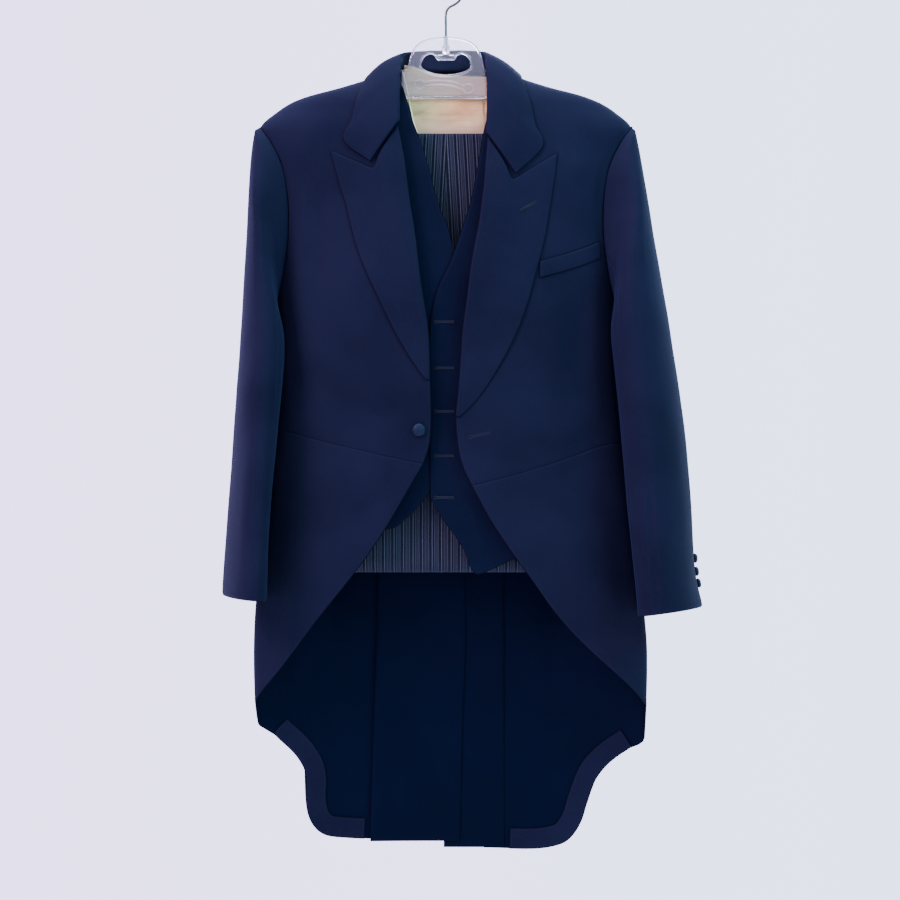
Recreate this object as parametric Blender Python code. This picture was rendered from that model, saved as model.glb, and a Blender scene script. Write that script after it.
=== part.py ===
"""Three-piece morning suit on its clear hanger: tail coat, waistcoat and folded striped trousers.

Millimetres in the tables, metres in Blender. +Z up, the front of the suit faces -Y.
The origin is the inside top of the hanger's hook. "right" and "left" are the wearer's:
the wearer's right lies at -X. Every cloth piece is a closed wall over a grid of places
on a surface, such as the ring-shaped body of the coat or a sleeve.
"""
import math

import bmesh
import bpy
import numpy as np
from mathutils import Vector
from mathutils.geometry import tessellate_polygon

MM = 0.001

# Driving sizes
COAT_WALL = 2.0
LAPEL_WALL = 2.4
WAISTCOAT_WALL = 1.5
TROUSER_WALL = 1.5
SEAM = 0.22
WAISTCOAT_DROP = 3.8
HANGER_DROP = 6.4
HANGER_THICK = 6.0
WIRE = 3.0
HOOK_RADIUS = 20.0
BUTTON = 15.0
CUFF_BUTTON = 11.5
SQUARENESS = 2.3

# Body of the coat, a row for each ring: height, half width, centre, depth to front and to back
COAT_RINGS = [
    (-100, 48, 0, 18, 32), (-112, 61, 0, 27, 37), (-121, 76, 0, 33, 39), (-130, 92, 0, 38, 41),
    (-142, 129, 0, 43, 43), (-154, 174, 0, 46, 45), (-161, 191, 0, 48, 46), (-173, 209, 0, 50, 48),
    (-186, 224, 0, 52, 49), (-196, 229, 0, 53, 50), (-212, 226, 0, 55, 50), (-250, 215, 0, 60, 51),
    (-300, 208, 0, 63, 52), (-360, 206, 0, 64, 50), (-405, 206, 0, 63, 47), (-480, 206, 1, 60, 42),
    (-560, 212, 3, 57, 39), (-620, 218, 4, 55, 40), (-700, 228, 5, 53, 41), (-766, 236, 5, 51, 42),
    (-830, 240, 6, 49, 42), (-890, 239, 6, 47, 41), (-950, 236, 6, 44, 39), (-1080, 232, 6, 40, 35)]

# Armhole of the coat: turn from the front centre in degrees, height
ARMHOLE_FRONT = [(90, -187), (78, -192), (70, -201), (64, -230), (63, -267), (65, -321), (69, -358),
                 (78, -390)]
ARMHOLE_UNDER = [(78, -390), (90, -405), (103, -396), (112, -362)]
ARMHOLE_BACK = [(112, -362), (116, -325), (118, -267), (116, -230), (110, -201), (102, -192), (90, -187)]

# Edges seen from the front: across, height. The right side of the coat, then its left side.
ROLL = {
    -1: [(-57, -195), (-50, -232), (-44, -279), (-37, -321), (-30, -380), (-21, -440), (-19, -498)],
    1: [(50, -209), (46, -262), (39, -315), (31, -356), (25, -404), (20, -440), (17, -487), (12, -542)]}
FRONT_EDGE = {
    -1: [(-19, -498), (-18, -540), (-20, -575), (-27, -598)],
    1: [(12, -542), (14, -570), (19, -597), (31, -624)]}
GORGE = {-1: [(-57, -195), (-87, -246), (-138, -224)], 1: [(50, -209), (80, -260), (133, -228)]}
LAPEL_EDGE = {
    -1: [(-138, -224), (-129, -256), (-120, -285), (-108, -333), (-96, -366), (-78, -405), (-61, -440),
         (-40, -476), (-24, -498)],
    1: [(133, -227), (129, -262), (118, -327), (106, -374), (96, -410), (84, -442), (64, -481),
        (40, -518), (17, -542)]}
CUTAWAY = {
    -1: [(-27, -600), (-39, -618), (-69, -670), (-109, -728), (-153, -783), (-191, -834), (-219, -869),
         (-232, -893)],
    1: [(31, -626), (38, -642), (59, -673), (84, -711), (112, -749), (139, -786), (176, -825), (212, -857),
        (234, -880), (244, -900)]}
TAIL_HEM = {
    -1: [(-232, -893), (-231, -914), (-212, -930), (-189, -953), (-176, -972), (-172, -990), (-173, -1007),
         (-170, -1030), (-162, -1046), (-149, -1056), (-123, -1060), (-60, -1063)],
    1: [(244, -900), (243, -932), (228, -946), (209, -960), (189, -980), (176, -1010), (166, -1041),
        (150, -1063), (130, -1071), (103, -1074), (48, -1073)]}
# Waist seam: height at the front edge, beside the chest, at the side and at the back
WAIST_FRONT = {-1: [(-115, -579), (-185, -561)], 1: [(124, -599), (186, -577)]}
WAIST_BACK = -556

# Back strips below the waist: height, edge beside the pleat, edge of the vent
STRIPS = {
    -1: [(-556, -80, -0.5), (-585, -82, 12), (-768, -84, 13), (-900, -88, 8), (-1064, -93, 4)],
    1: [(-556, 74, 0.5), (-585, 74, -14), (-768, 71, -14), (-900, 71, -14), (-1072, 71, -14)]}
PLEAT_LAP = 24.0

# Collar stations from the centre back to the gorge: outer edge across and height (None is the
# shoulder line), fold, foot of the stand, bulge of the fall
COLLAR = [
    (0, -131, 0, 38.5, -88.5, 0, 32.0, -115, 3.0),
    (45, -131, 29, 34.0, -90, 29, 27.0, -115, 3.0),
    (76, -130, 45.5, 19, -94, 47, 14.5, -115, 4.0),
    (None, -128.5, 52, 0.0, -99, 54.5, 0.0, -115, 3.0),
    (97, -139, 55.5, -18, -106, 55.5, -14.5, -114, 3.8),
    (106, -163, 56.5, -34.5, -123, 56.5, -30, -127, 4.0),
    (113, -190, 57, -47, -149, 57, -42, -151, 4.2),
    (121, -213, 57, -53.3, -173, 57, -48, -174, 3.8),
    (90, -238, 57, -55.7, -190, 57, -50.5, -189, 2.8)]
COLLAR_LIFT = 2.2
NECK_SETBACK = 7.0
COLLAR_LEFT_SHIFT = [(0, 0), (0, 0), (-1, 0), (-3, 0), (-6, -1), (-6, -2), (-6, -5), (-6, -7), (-7, -15)]

# Sleeves: outer point, inner point (across, height), half depth, centre in y, toe-in in degrees
SLEEVES = {
    -1: [(-234, -196, -204, -414, 52, -8, 0), (-238, -250, -198, -430, 60, -9, 2),
         (-243, -330, -194, -455, 64, -12, 5), (-249, -425, -196, -500, 65, -16, 9),
         (-257, -540, -202, -575, 65, -24, 13), (-265, -650, -209, -662, 64, -32, 17),
         (-271, -756, -213, -761, 63, -38, 18)],
    1: [(232, -196, 204, -414, 52, -8, 0), (241, -250, 199, -430, 60, -9, 2),
        (255, -330, 199, -455, 64, -12, 7), (272, -425, 204, -500, 65, -16, 12),
        (288, -540, 211, -575, 65, -24, 17), (296, -645, 218, -660, 63, -34, 21),
        (300, -722, 225, -735, 62, -39, 22), (309, -768, 229, -781, 62, -42, 23)]}
SLEEVE_SEAMS = (-62, 128)
SLEEVE_CLEAR = 2.0
SLEEVE_BLEND = 7.0
SLEEVE_STEP = 1.0

# Buttons: the coat's front one and the ones behind its waist, then the angle and places down each cuff
FRONT_BUTTON = (-32, -558)
BACK_BUTTON = (62, -567)
CUFF_BUTTONS = {-1: (288, (0.935, 0.957, 0.979)), 1: (324, (0.853, 0.885, 0.921))}

# Breast welt on the left chest: across and height of its four corners
WELT = [(112, -357), (184, -331), (186, -351), (112, -376)]

# Waistcoat, edges seen from the front
WAISTCOAT_NECK = {
    -1: [(-60, -121), (-52, -145), (-46, -164), (-34, -203), (-11, -283), (8, -340), (9, -420), (9, -520),
         (6, -596), (-20, -632)],
    1: [(60, -121), (55, -145), (51, -165), (47, -195), (38, -245), (29, -290), (13, -337), (-4, -379),
        (-16, -412), (-19, -450), (-19, -560), (-18, -640)]}
WAISTCOAT_HEM = {
    -1: [(-20, -632), (-41, -659), (-69, -676), (-110, -668), (-184, -640)],
    1: [(-18, -640), (11, -684), (38, -731), (53, -718), (88, -708), (184, -655)]}
WAISTCOAT_ARMHOLE = [(149, -163), (146, -175), (142, -192), (140, -212), (143, -260), (155, -330),
                     (172, -385)]
WAISTCOAT_SIDE = -432
WAISTCOAT_BACK_HEM = -640

# Trousers, hung by the back of the waist and folded over
TROUSER_HALF = 168.0
FRONT_WAIST = -200.0
FOLD = -731.0
LEG_END = -212.0
LAYERS = {"front": -20.5, "back": -10.5, "back rising": 6.5, "front rising": 13.5}

# Back waist, drawn up behind the hanger's plate: across, height of its edge
WAIST_LINE = [(-54, -110), (-40, -112.5), (-28, -117), (-8, -122.5), (17, -124), (54, -125)]
WAIST_JOIN = -150.0
CURTAIN_END = -210.0
LINING_WALL = 1.0

CLOTH = (0.012, 0.014, 0.035, 1)
LINING = (0.02, 0.02, 0.03, 1)
STRIPE = (0.06, 0.065, 0.09, 1)
CREAM = (0.74, 0.62, 0.47, 1)
PLASTIC = (0.85, 0.87, 0.9, 1)
STEEL = (0.6, 0.6, 0.62, 1)


def clear():
    """Empty the file."""
    for item in list(bpy.data.objects):
        bpy.data.objects.remove(item, do_unlink=True)


def material(name, colour, roughness, metallic=0.0):
    """A plain Principled finish, made once."""
    found = bpy.data.materials.get(name)
    if found:
        return found
    made = bpy.data.materials.new(name)
    made.use_nodes = True
    shader = made.node_tree.nodes["Principled BSDF"]
    shader.inputs["Base Color"].default_value = colour
    shader.inputs["Roughness"].default_value = roughness
    shader.inputs["Metallic"].default_value = metallic
    return made


def coat_cloth():
    return material("coat cloth", CLOTH, 0.85)


def waistcoat_cloth():
    return material("waistcoat cloth", CLOTH, 0.8)


def back_lining():
    return material("waistcoat lining", LINING, 0.45)


def trouser_cloth():
    return material("striped cloth", STRIPE, 0.85)


def waist_lining():
    return material("cream lining", CREAM, 0.6)


def clear_plastic():
    return material("clear plastic", PLASTIC, 0.1)


def hook_steel():
    return material("hook steel", STEEL, 0.3, 1.0)


def through(keys, values):
    """A smooth curve through rows that never overshoots them, as a function of the key."""
    pairs = sorted(zip(keys, values))
    x = [float(key) for key, _ in pairs]
    y = [float(value) for _, value in pairs]
    step = [b - a for a, b in zip(x, x[1:])]
    slope = [(b - a) / gap for a, b, gap in zip(y, y[1:], step)]
    tangent = [slope[0]]
    for i in range(1, len(x) - 1):
        before, after = slope[i - 1], slope[i]
        flat = before * after <= 0
        tangent.append(0.0 if flat else 2 * before * after / (before + after))
    tangent.append(slope[-1])

    def value(key):
        key = min(max(key, x[0]), x[-1])
        i = min(max(int(np.searchsorted(x, key)) - 1, 0), len(step) - 1)
        t = (key - x[i]) / step[i]
        return ((2 * t ** 3 - 3 * t ** 2 + 1) * y[i] + (t ** 3 - 2 * t ** 2 + t) * step[i] * tangent[i]
                + (3 * t ** 2 - 2 * t ** 3) * y[i + 1] + (t ** 3 - t ** 2) * step[i] * tangent[i + 1])
    return value


def power(value, exponent):
    """A power that keeps the sign."""
    return math.copysign(abs(value) ** exponent, value)


class Surface:
    """A surface that gives a point for two numbers; its normal points out of the cloth."""

    def __init__(self, point, steps=(0.4, 0.4), flip=1):
        self.point = point
        self.steps = steps
        self.flip = flip

    def normal(self, u, v):
        du, dv = self.steps
        along = self.point(u + du, v) - self.point(u - du, v)
        up = self.point(u, v + dv) - self.point(u, v - dv)
        return along.cross(up).normalized() * self.flip

    def lifted(self, u, v, height):
        return self.point(u, v) + self.normal(u, v) * height


class Body(Surface):
    """Stacked rings: places on it are a turn from the front centre, in degrees, and a height."""

    def __init__(self, rows):
        columns = list(zip(*rows))
        self.curves = [through(columns[0], column) for column in columns[1:]]
        super().__init__(self.ring_point)

    def ring_point(self, turn, height):
        half, centre, front, back = [curve(height) for curve in self.curves]
        across = math.sin(math.radians(turn))
        ahead = math.cos(math.radians(turn))
        depth = front if ahead > 0 else back
        x = centre + half * power(across, 2 / SQUARENESS)
        return Vector((x, -depth * power(ahead, 2 / SQUARENESS), height))

    def front(self, x, height):
        """The place on the front half that shows at x."""
        half, centre = self.curves[0](height), self.curves[1](height)
        share = min(max((x - centre) / half, -1), 1)
        return (math.degrees(math.asin(power(share, SQUARENESS / 2))), height)

    def behind(self, x, height):
        """The place on the back half at x."""
        turn = self.front(x, height)[0]
        side = -1 if x < 0 else 1
        return (side * 180 - turn, height)


def waistcoat_rows():
    """The coat's rings, lowered under its shoulders and drawn in below them."""
    rows = []
    for height, half, centre, front, back in COAT_RINGS:
        inside = 0 if height > -190 else 5
        ease = 4 if height > -150 else 12
        rows.append((height - WAISTCOAT_DROP, half - inside, centre, front - ease, back - min(ease, 9)))
    return rows


COAT = Body(COAT_RINGS)
WAISTCOAT = Body(waistcoat_rows())


def run(points, count):
    """count + 1 places along a smooth curve through the points, evenly spaced."""
    if len(points) == 2:
        (a, b), (c, d) = points
        return [(a + (c - a) * i / count, b + (d - b) * i / count) for i in range(count + 1)]
    reach = [0.0]
    for (a, b), (c, d) in zip(points, points[1:]):
        reach.append(reach[-1] + math.hypot(2.5 * (c - a), d - b))
    across = catmull(reach, [p[0] for p in points])
    height = catmull(reach, [p[1] for p in points])
    return [(across(reach[-1] * i / count), height(reach[-1] * i / count)) for i in range(count + 1)]


def catmull(keys, values):
    """A smooth curve through values at increasing keys."""
    tangent = []
    last = len(keys) - 1
    for i in range(last + 1):
        low, high = max(i - 1, 0), min(i + 1, last)
        tangent.append((values[high] - values[low]) / (keys[high] - keys[low]))

    def value(key):
        i = min(max(int(np.searchsorted(keys, key)) - 1, 0), last - 1)
        gap = keys[i + 1] - keys[i]
        t = (key - keys[i]) / gap
        return ((2 * t ** 3 - 3 * t ** 2 + 1) * values[i] + (t ** 3 - 2 * t ** 2 + t) * gap * tangent[i]
                + (3 * t ** 2 - 2 * t ** 3) * values[i + 1] + (t ** 3 - t ** 2) * gap * tangent[i + 1])
    return value


def join(*runs):
    """Runs end to end, with each shared place once."""
    places = list(runs[0])
    for more in runs[1:]:
        places += more[1:]
    return places


def bow(edge, c, k):
    """How far an edge stands off the straight line between its ends."""
    return edge[round(c * (len(edge) - 1))][k] - (1 - c) * edge[0][k] - c * edge[-1][k]


def fill(left, right, top, bottom):
    """Grid of places spanned by four edges, rows from top to bottom; an end's bow fades as it leaves it."""
    rows, columns = len(left) - 1, len(top) - 1
    grid = []
    for i in range(rows + 1):
        r = i / rows
        line = []
        for j in range(columns + 1):
            c = j / columns
            line.append(tuple((1 - c) * left[i][k] + c * right[i][k] + (1 - r) ** 2 * bow(top, c, k)
                              + r ** 2 * bow(bottom, c, k) for k in (0, 1)))
        grid.append(line)
    return grid


def drawn_in(surface, grid, gap):
    """The grid with its border moved inwards by a gap, which leaves the seams open."""
    rows, columns = len(grid), len(grid[0])
    moved = [list(line) for line in grid]
    for i in range(rows):
        for j in range(columns):
            inner_i = min(max(i, 1), rows - 2)
            inner_j = min(max(j, 1), columns - 2)
            if (inner_i, inner_j) == (i, j):
                continue
            here, inside = grid[i][j], grid[inner_i][inner_j]
            reach = (surface.point(*here) - surface.point(*inside)).length
            diagonal = math.sqrt(2) if inner_i != i and inner_j != j else 1
            share = min(gap * diagonal / max(reach, 0.01), 0.3)
            moved[i][j] = tuple(a + (b - a) * share for a, b in zip(here, inside))
    return moved


def as_height(height, r, c):
    return height(r, c) if callable(height) else height


def solid(name, points, faces, finish, smooth=60):
    """One closed object from points in millimetres."""
    mesh = bpy.data.meshes.new(name)
    mesh.from_pydata([tuple(point * MM) for point in points], [], faces)
    shape = bmesh.new()
    shape.from_mesh(mesh)
    bmesh.ops.recalc_face_normals(shape, faces=shape.faces)
    bmesh.ops.triangulate(shape, faces=shape.faces)
    if shape.calc_volume(signed=True) < 0:
        bmesh.ops.reverse_faces(shape, faces=shape.faces)
    shape.to_mesh(mesh)
    shape.free()
    mesh.shade_smooth()
    mesh.set_sharp_from_angle(angle=math.radians(smooth))
    item = bpy.data.objects.new(name, mesh)
    item.data.materials.append(finish)
    bpy.context.collection.objects.link(item)
    return item


def cloth(name, surface, grid, top, under, finish, gap=SEAM):
    """Closed wall between two heights over a grid of places."""
    grid = drawn_in(surface, grid, gap)
    rows, columns = len(grid), len(grid[0])
    outside, inside = [], []
    for i, line in enumerate(grid):
        for j, place in enumerate(line):
            r, c = i / (rows - 1), j / (columns - 1)
            point, normal = surface.point(*place), surface.normal(*place)
            outside.append(point + normal * as_height(top, r, c))
            inside.append(point + normal * as_height(under, r, c))
    count = rows * columns
    faces = []
    for i in range(rows - 1):
        for j in range(columns - 1):
            a, b = i * columns + j, (i + 1) * columns + j
            faces.append((a, b, b + 1, a + 1))
            faces.append((count + a, count + a + 1, count + b + 1, count + b))
    border = ([j for j in range(columns)] + [i * columns + columns - 1 for i in range(1, rows)]
              + [(rows - 1) * columns + j for j in range(columns - 2, -1, -1)]
              + [i * columns for i in range(rows - 2, 0, -1)])
    for a, b in zip(border, border[1:] + border[:1]):
        faces.append((a, b, count + b, count + a))
    return solid(name, outside + inside, faces, finish)


def side_name(side):
    return "right" if side < 0 else "left"


def turned(side, places):
    """Places given for the left side, for either side."""
    return [(side * turn, height) for turn, height in places]


def front_places(body, points):
    return [body.front(x, z) for x, z in points]


def shoulder_seam(side):
    return run([(side * 90, -113), (side * 90, -187)], 6)


def armhole_front(side):
    return turned(side, run(ARMHOLE_FRONT, 8))


def armhole_under(side):
    return turned(side, run(ARMHOLE_UNDER, 5))


def armhole_back(side):
    return turned(side, run(ARMHOLE_BACK, 7))


def waist_front(side):
    start = COAT.front(*FRONT_EDGE[side][-1])
    marks = [COAT.front(*mark) for mark in WAIST_FRONT[side]]
    return run([start] + marks + [(side * 76, WAIST_FRONT[side][-1][1] + 4)], 7)


def waist_side(side):
    start = waist_front(side)[-1]
    end = COAT.behind(STRIPS[side][0][1], WAIST_BACK)
    return run([start, (side * 105, WAIST_BACK - 1), end], 5)


def side_seam(side):
    return run([turned(side, ARMHOLE_UNDER)[0], waist_front(side)[-1]], 5)


def back_seam(side):
    start = turned(side, ARMHOLE_UNDER)[-1]
    end = waist_side(side)[-1]
    bend = (side * 132, -430)
    return run([start, bend, end], 5)


def forepart(side):
    """Front panel: neck, shoulder, armhole, side seam, waist seam and front edge."""
    neck_x = ROLL[side][0][0] + NECK_SETBACK * side
    neck = [COAT.front(neck_x, -116), COAT.front(neck_x, -160), COAT.front(neck_x, ROLL[side][0][1] + 3)]
    left = join(run(neck, 6), run([neck[-1]] + front_places(COAT, ROLL[side][1:]), 9),
                run(front_places(COAT, FRONT_EDGE[side]), 4))
    right = join(shoulder_seam(side), armhole_front(side), side_seam(side))
    top = run([left[0], right[0]], 7)
    grid = fill(left, right, top, waist_front(side))
    return cloth(f"coat_forepart_{side_name(side)}", COAT, grid, 0, -COAT_WALL, coat_cloth())


def sidebody(side):
    """Panel under the arm, between the side seam and the curved back seam."""
    grid = fill(side_seam(side), back_seam(side), armhole_under(side), waist_side(side))
    return cloth(f"coat_sidebody_{side_name(side)}", COAT, grid, 0, -COAT_WALL, coat_cloth())


def back(side):
    """Back panel from the neck to the hem; below the waist it hangs inside the skirts."""
    centre = side * 180
    outer = join(shoulder_seam(side), armhole_back(side)[::-1], back_seam(side))
    yoke = (centre, -200)
    inner = join(run([(centre, -113), yoke], 6), run([yoke, (centre, WAIST_BACK)], len(outer) - 7))
    upper = fill(inner, outer, run([inner[0], outer[0]], 4), run([inner[-1], outer[-1]], 4))
    heights, pleats, vents = zip(*STRIPS[side])
    pleat, vent = through(heights, pleats), through(heights, vents)
    count = 9
    lower = []
    for i in range(1, count + 1):
        z = heights[0] + (heights[-1] - heights[0]) * (i / count) ** 1.3
        edge, split = COAT.behind(pleat(z), z), COAT.behind(abs(vent(z)) * side, z)
        crossing = vent(z) * side < 0
        split_turn = 2 * centre - split[0] if crossing else split[0]
        lower.append([(split_turn + (edge[0] - split_turn) * j / 4, z) for j in range(5)])
    grid = upper + lower
    deep = -5.6 if side < 0 else -2.8
    bend = (len(upper) - 1) / (len(grid) - 1)

    def sink(r, c):
        start = bend - 0.1
        share = min(max((r - start) / 0.1, 0), 1)
        return deep * share * share * (3 - 2 * share)

    return cloth(f"coat_back_{side_name(side)}", COAT, grid, sink,
                 lambda r, c: sink(r, c) - COAT_WALL, coat_cloth())


def skirt(side):
    """Skirt from the waist seam to the tail hem, lapped over the back strip."""
    lap_x = STRIPS[side][0][1] - side * PLEAT_LAP
    lap = COAT.behind(lap_x, WAIST_BACK)
    top = join(waist_front(side), waist_side(side), run([waist_side(side)[-1], lap], 1))
    top = [(turn, height - 0.2) for turn, height in top]
    corner = (side * 90, TAIL_HEM[side][0][1])
    hem = [COAT.behind(x, z) for x, z in TAIL_HEM[side][1:]]
    left = join(run(front_places(COAT, CUTAWAY[side][:-1]) + [corner], 9), run([corner] + hem[:-2], 8))
    right = run([top[-1], hem[-1]], 17)
    grid = fill([top[0]] + left[1:], right, top, run(hem[-3:], len(top) - 1))
    return cloth(f"coat_skirt_{side_name(side)}", COAT, grid, 0, -COAT_WALL, coat_cloth())


def tail_facing(side):
    """Turned hem band inside the tail."""
    band = 24.0
    hem = run([COAT.behind(x, z) for x, z in TAIL_HEM[side][2:]], 24)
    line = []
    for i, (turn, height) in enumerate(hem):
        low, high = hem[max(i - 1, 0)], hem[min(i + 1, len(hem) - 1)]
        along = COAT.point(*high) - COAT.point(*low)
        normal = COAT.normal(turn, height)
        inwards = normal.cross(along).normalized() * side
        place = COAT.point(turn, height) + inwards * band
        line.append(COAT.behind(place.x, place.z))
    start = STRIPS[side][-1][1] + side * 3
    grid = [[(a[0] + (b[0] - a[0]) * j / 2, a[1] + (b[1] - a[1]) * j / 2) for j in range(3)]
            for a, b in zip(hem, line) if abs(COAT.point(*a).x) > abs(start)]
    return cloth(f"coat_tail_facing_{side_name(side)}", COAT, grid, -COAT_WALL - 0.9, -COAT_WALL - 2.0,
                 coat_cloth(), gap=1.0)


def lapel(side):
    """Peaked lapel turned back over the forepart."""
    left = run(front_places(COAT, ROLL[side]), 13)
    right = run(front_places(COAT, LAPEL_EDGE[side]), 13)
    gorge = front_places(COAT, GORGE[side])
    top = join(run(gorge[:2], 3), run(gorge[1:], 3))
    bottom = run([left[-1], right[-1]], 6)
    grid = fill(left, right, top, bottom)

    def under(r, c):
        width = 1 - r
        return 0.45 + 3.0 * width * math.sin(math.pi * min(c * 1.6, 1)) ** 1.5 * (c < 0.62)

    def over(r, c):
        return under(r, c) + LAPEL_WALL

    return cloth(f"coat_lapel_{side_name(side)}", COAT, grid, over, under, coat_cloth())


def collar_controls(side):
    """Five points across the collar at each station, from the outer edge to the foot of the stand."""
    stations = []
    for row, shift in zip(COLLAR, COLLAR_LEFT_SHIFT):
        edge_x, edge_z, fold_x, fold_y, fold_z, foot_x, foot_y, foot_z, bulge = row
        across, down = shift if side > 0 else (0, 0)
        if edge_x is None:
            place = (side * 90, edge_z)
        elif fold_y > 0:
            place = COAT.behind(side * edge_x, edge_z) if edge_x else (180, edge_z)
        else:
            place = COAT.front(side * (edge_x + across), edge_z + down)
        edge = COAT.lifted(*place, COLLAR_LIFT)
        fold = Vector((side * (fold_x + across), fold_y, fold_z + down))
        foot = Vector((side * (foot_x + across), foot_y, foot_z + down))
        middle = (edge + fold) / 2 + COAT.normal(*place) * bulge
        inside = fold * 0.72 + foot * 0.28
        stations.append([edge, middle, fold, inside, foot])
    return stations


def collar_surface():
    """Surface over the whole collar: -1 is its right end, 1 its left end; 0 to 1 from edge to foot."""
    right = collar_controls(-1)
    left = collar_controls(1)
    stations = right[::-1] + left[1:]
    last = len(right) - 1
    keys = [i - last for i in range(len(stations))]
    tracks = [[catmull(keys, [station[k][axis] for station in stations]) for axis in range(3)]
              for k in range(5)]

    def point(u, v):
        line = [Vector((track[0](u), track[1](u), track[2](u))) for track in tracks]
        reach = [0.0]
        for a, b in zip(line, line[1:]):
            reach.append(reach[-1] + (b - a).length)
        curves = [catmull(reach, [p[axis] for p in line]) for axis in range(3)]
        key = v * reach[-1]
        return Vector((curves[0](key), curves[1](key), curves[2](key)))
    return Surface(point, steps=(0.02, 0.005)), last


def collar():
    """Collar folded over its stand."""
    surface, last = collar_surface()
    surface.flip = -1 if surface.normal(0, 0.2).y < 0 else 1
    rows = [0, 0.15, 0.32, 0.46, 0.56, 0.63, 0.69, 0.75, 0.86, 1]
    columns = [last * (i / 12 - 1) for i in range(25)]
    grid = [[(u, v) for u in columns] for v in rows]
    return cloth("coat_collar", surface, grid, COAT_WALL, 0, coat_cloth())


def body_reach(side, y, height):
    """How far the coat's body stands out sideways at a depth and a height."""
    half, centre, front, behind = [curve(height) for curve in COAT.curves]
    share = min(abs(y) / (front if y < 0 else behind), 1)
    return side * centre + half * (1 - share ** SQUARENESS) ** (1 / SQUARENESS)


def sleeve_surface(side):
    """Surface of a sleeve: an angle round it in degrees, 0 outside and 90 at the front, and 0 to 1 down."""
    rows = SLEEVES[side]
    columns = [catmull(list(range(len(rows))), list(column)) for column in zip(*rows)]
    loop = join(armhole_front(side), armhole_under(side), armhole_back(side))
    marks = [COAT.point(*place) for place in loop]
    low = min(range(len(marks)), key=lambda i: marks[i].z)
    reach = [0.0]
    for a, b in zip(marks, marks[1:]):
        reach.append(reach[-1] + (b - a).length)
    turns = [180 * length / reach[low] if i <= low else
             180 + 180 * (length - reach[low]) / (reach[-1] - reach[low]) for i, length in enumerate(reach)]
    hole = [catmull(turns, [mark[axis] for mark in marks]) for axis in range(3)]

    def ring(angle, k):
        out_x, out_z, in_x, in_z, depth, middle, toe = [column(k) for column in columns]
        half = Vector(((out_x - in_x) / 2, 0, (out_z - in_z) / 2))
        centre = Vector(((out_x + in_x) / 2, middle, (out_z + in_z) / 2))
        lean = math.radians(toe)
        width = abs(half.x)
        narrow = math.sqrt(max(width ** 2 - (depth * math.sin(lean)) ** 2, 100)) / math.cos(lean)
        out = half * (narrow * math.cos(lean) / width)
        ahead = Vector((-side * depth * math.sin(lean), -depth * math.cos(lean), 0))
        side_step = Vector((0, -narrow * math.sin(lean), 0))
        turn = math.radians(angle)
        place = (centre + out * power(math.cos(turn), 0.9) + side_step * math.cos(turn)
                 + ahead * power(math.sin(turn), 0.9))
        wall = body_reach(side, place.y, place.z) + SLEEVE_CLEAR
        reach = side * place.x
        place.x = side * (reach + wall + math.hypot(reach - wall, SLEEVE_BLEND)) / 2
        return place

    def point(angle, s):
        angle = angle % 360
        k = max((s - 0.12) / 0.88, 0) * (len(rows) - 1)
        start = Vector([axis(angle) for axis in hole]) + Vector((SLEEVE_STEP * side, 0, 0))
        share = min(s / 0.3, 1)
        share = share * (2 - share)
        rounded = ring(angle, k)
        return start * (1 - share) + rounded * share
    surface = Surface(point, steps=(1.0, 0.004))
    surface.flip = 1 if surface.normal(0, 0.6).x * side > 0 else -1
    return surface


def sleeve(side):
    """Top sleeve and under sleeve, two seams along its length."""
    surface = sleeve_surface(side)
    hind, fore = SLEEVE_SEAMS[0] + 360, SLEEVE_SEAMS[1]
    down = [0, 0.03, 0.07, 0.12, 0.18, 0.25, 0.33, 0.42, 0.52, 0.62, 0.72, 0.82, 0.91, 1]
    top = [[(hind - 360 + (fore - hind + 360) * j / 10, s) for j in range(11)] for s in down]
    under = [[(fore + (hind - fore) * j / 8, s) for j in range(9)] for s in down[:1] + [0.05] + down[3:]]
    cloth(f"coat_topsleeve_{side_name(side)}", surface, top, 0, -COAT_WALL, coat_cloth())
    cloth(f"coat_undersleeve_{side_name(side)}", surface, under, 0,
          lambda r, c: -COAT_WALL * (0.5 + 0.5 * min(r / 0.2, 1)), coat_cloth())
    return surface


def welt():
    """Slanting breast welt on the left chest."""
    corners = front_places(COAT, WELT)
    grid = fill(run([corners[0], corners[3]], 2), run([corners[1], corners[2]], 2),
                run(corners[:2], 5), run([corners[3], corners[2]], 5))
    return cloth("coat_breast_welt", COAT, grid, 1.7, 0.45, coat_cloth())


def button(name, place, normal, diameter, height, finish):
    """Covered button: a low dome turned about its own axis."""
    profile = [(0.0, 0.35), (0.42, 0.35), (0.5, 0.45), (0.5, 0.62), (0.46, 0.8), (0.34, 0.93), (0.16, 1.0)]
    sides = 14
    out = normal.normalized()
    across = out.cross(Vector((0, 0, 1))).normalized()
    up = across.cross(out)
    points, faces = [], []
    for reach, rise in profile[1:]:
        for i in range(sides):
            turn = math.tau * i / sides
            ring = across * math.cos(turn) + up * math.sin(turn)
            points.append(place + ring * reach * diameter + out * (rise - 0.35) * height)
    levels = len(profile) - 1
    for k in range(levels - 1):
        for i in range(sides):
            a, b = k * sides + i, k * sides + (i + 1) % sides
            faces.append((a, b, b + sides, a + sides))
    faces.append(tuple(range(sides))[::-1])
    faces.append(tuple(range((levels - 1) * sides, levels * sides)))
    return solid(name, points, faces, finish, smooth=40)


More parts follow.
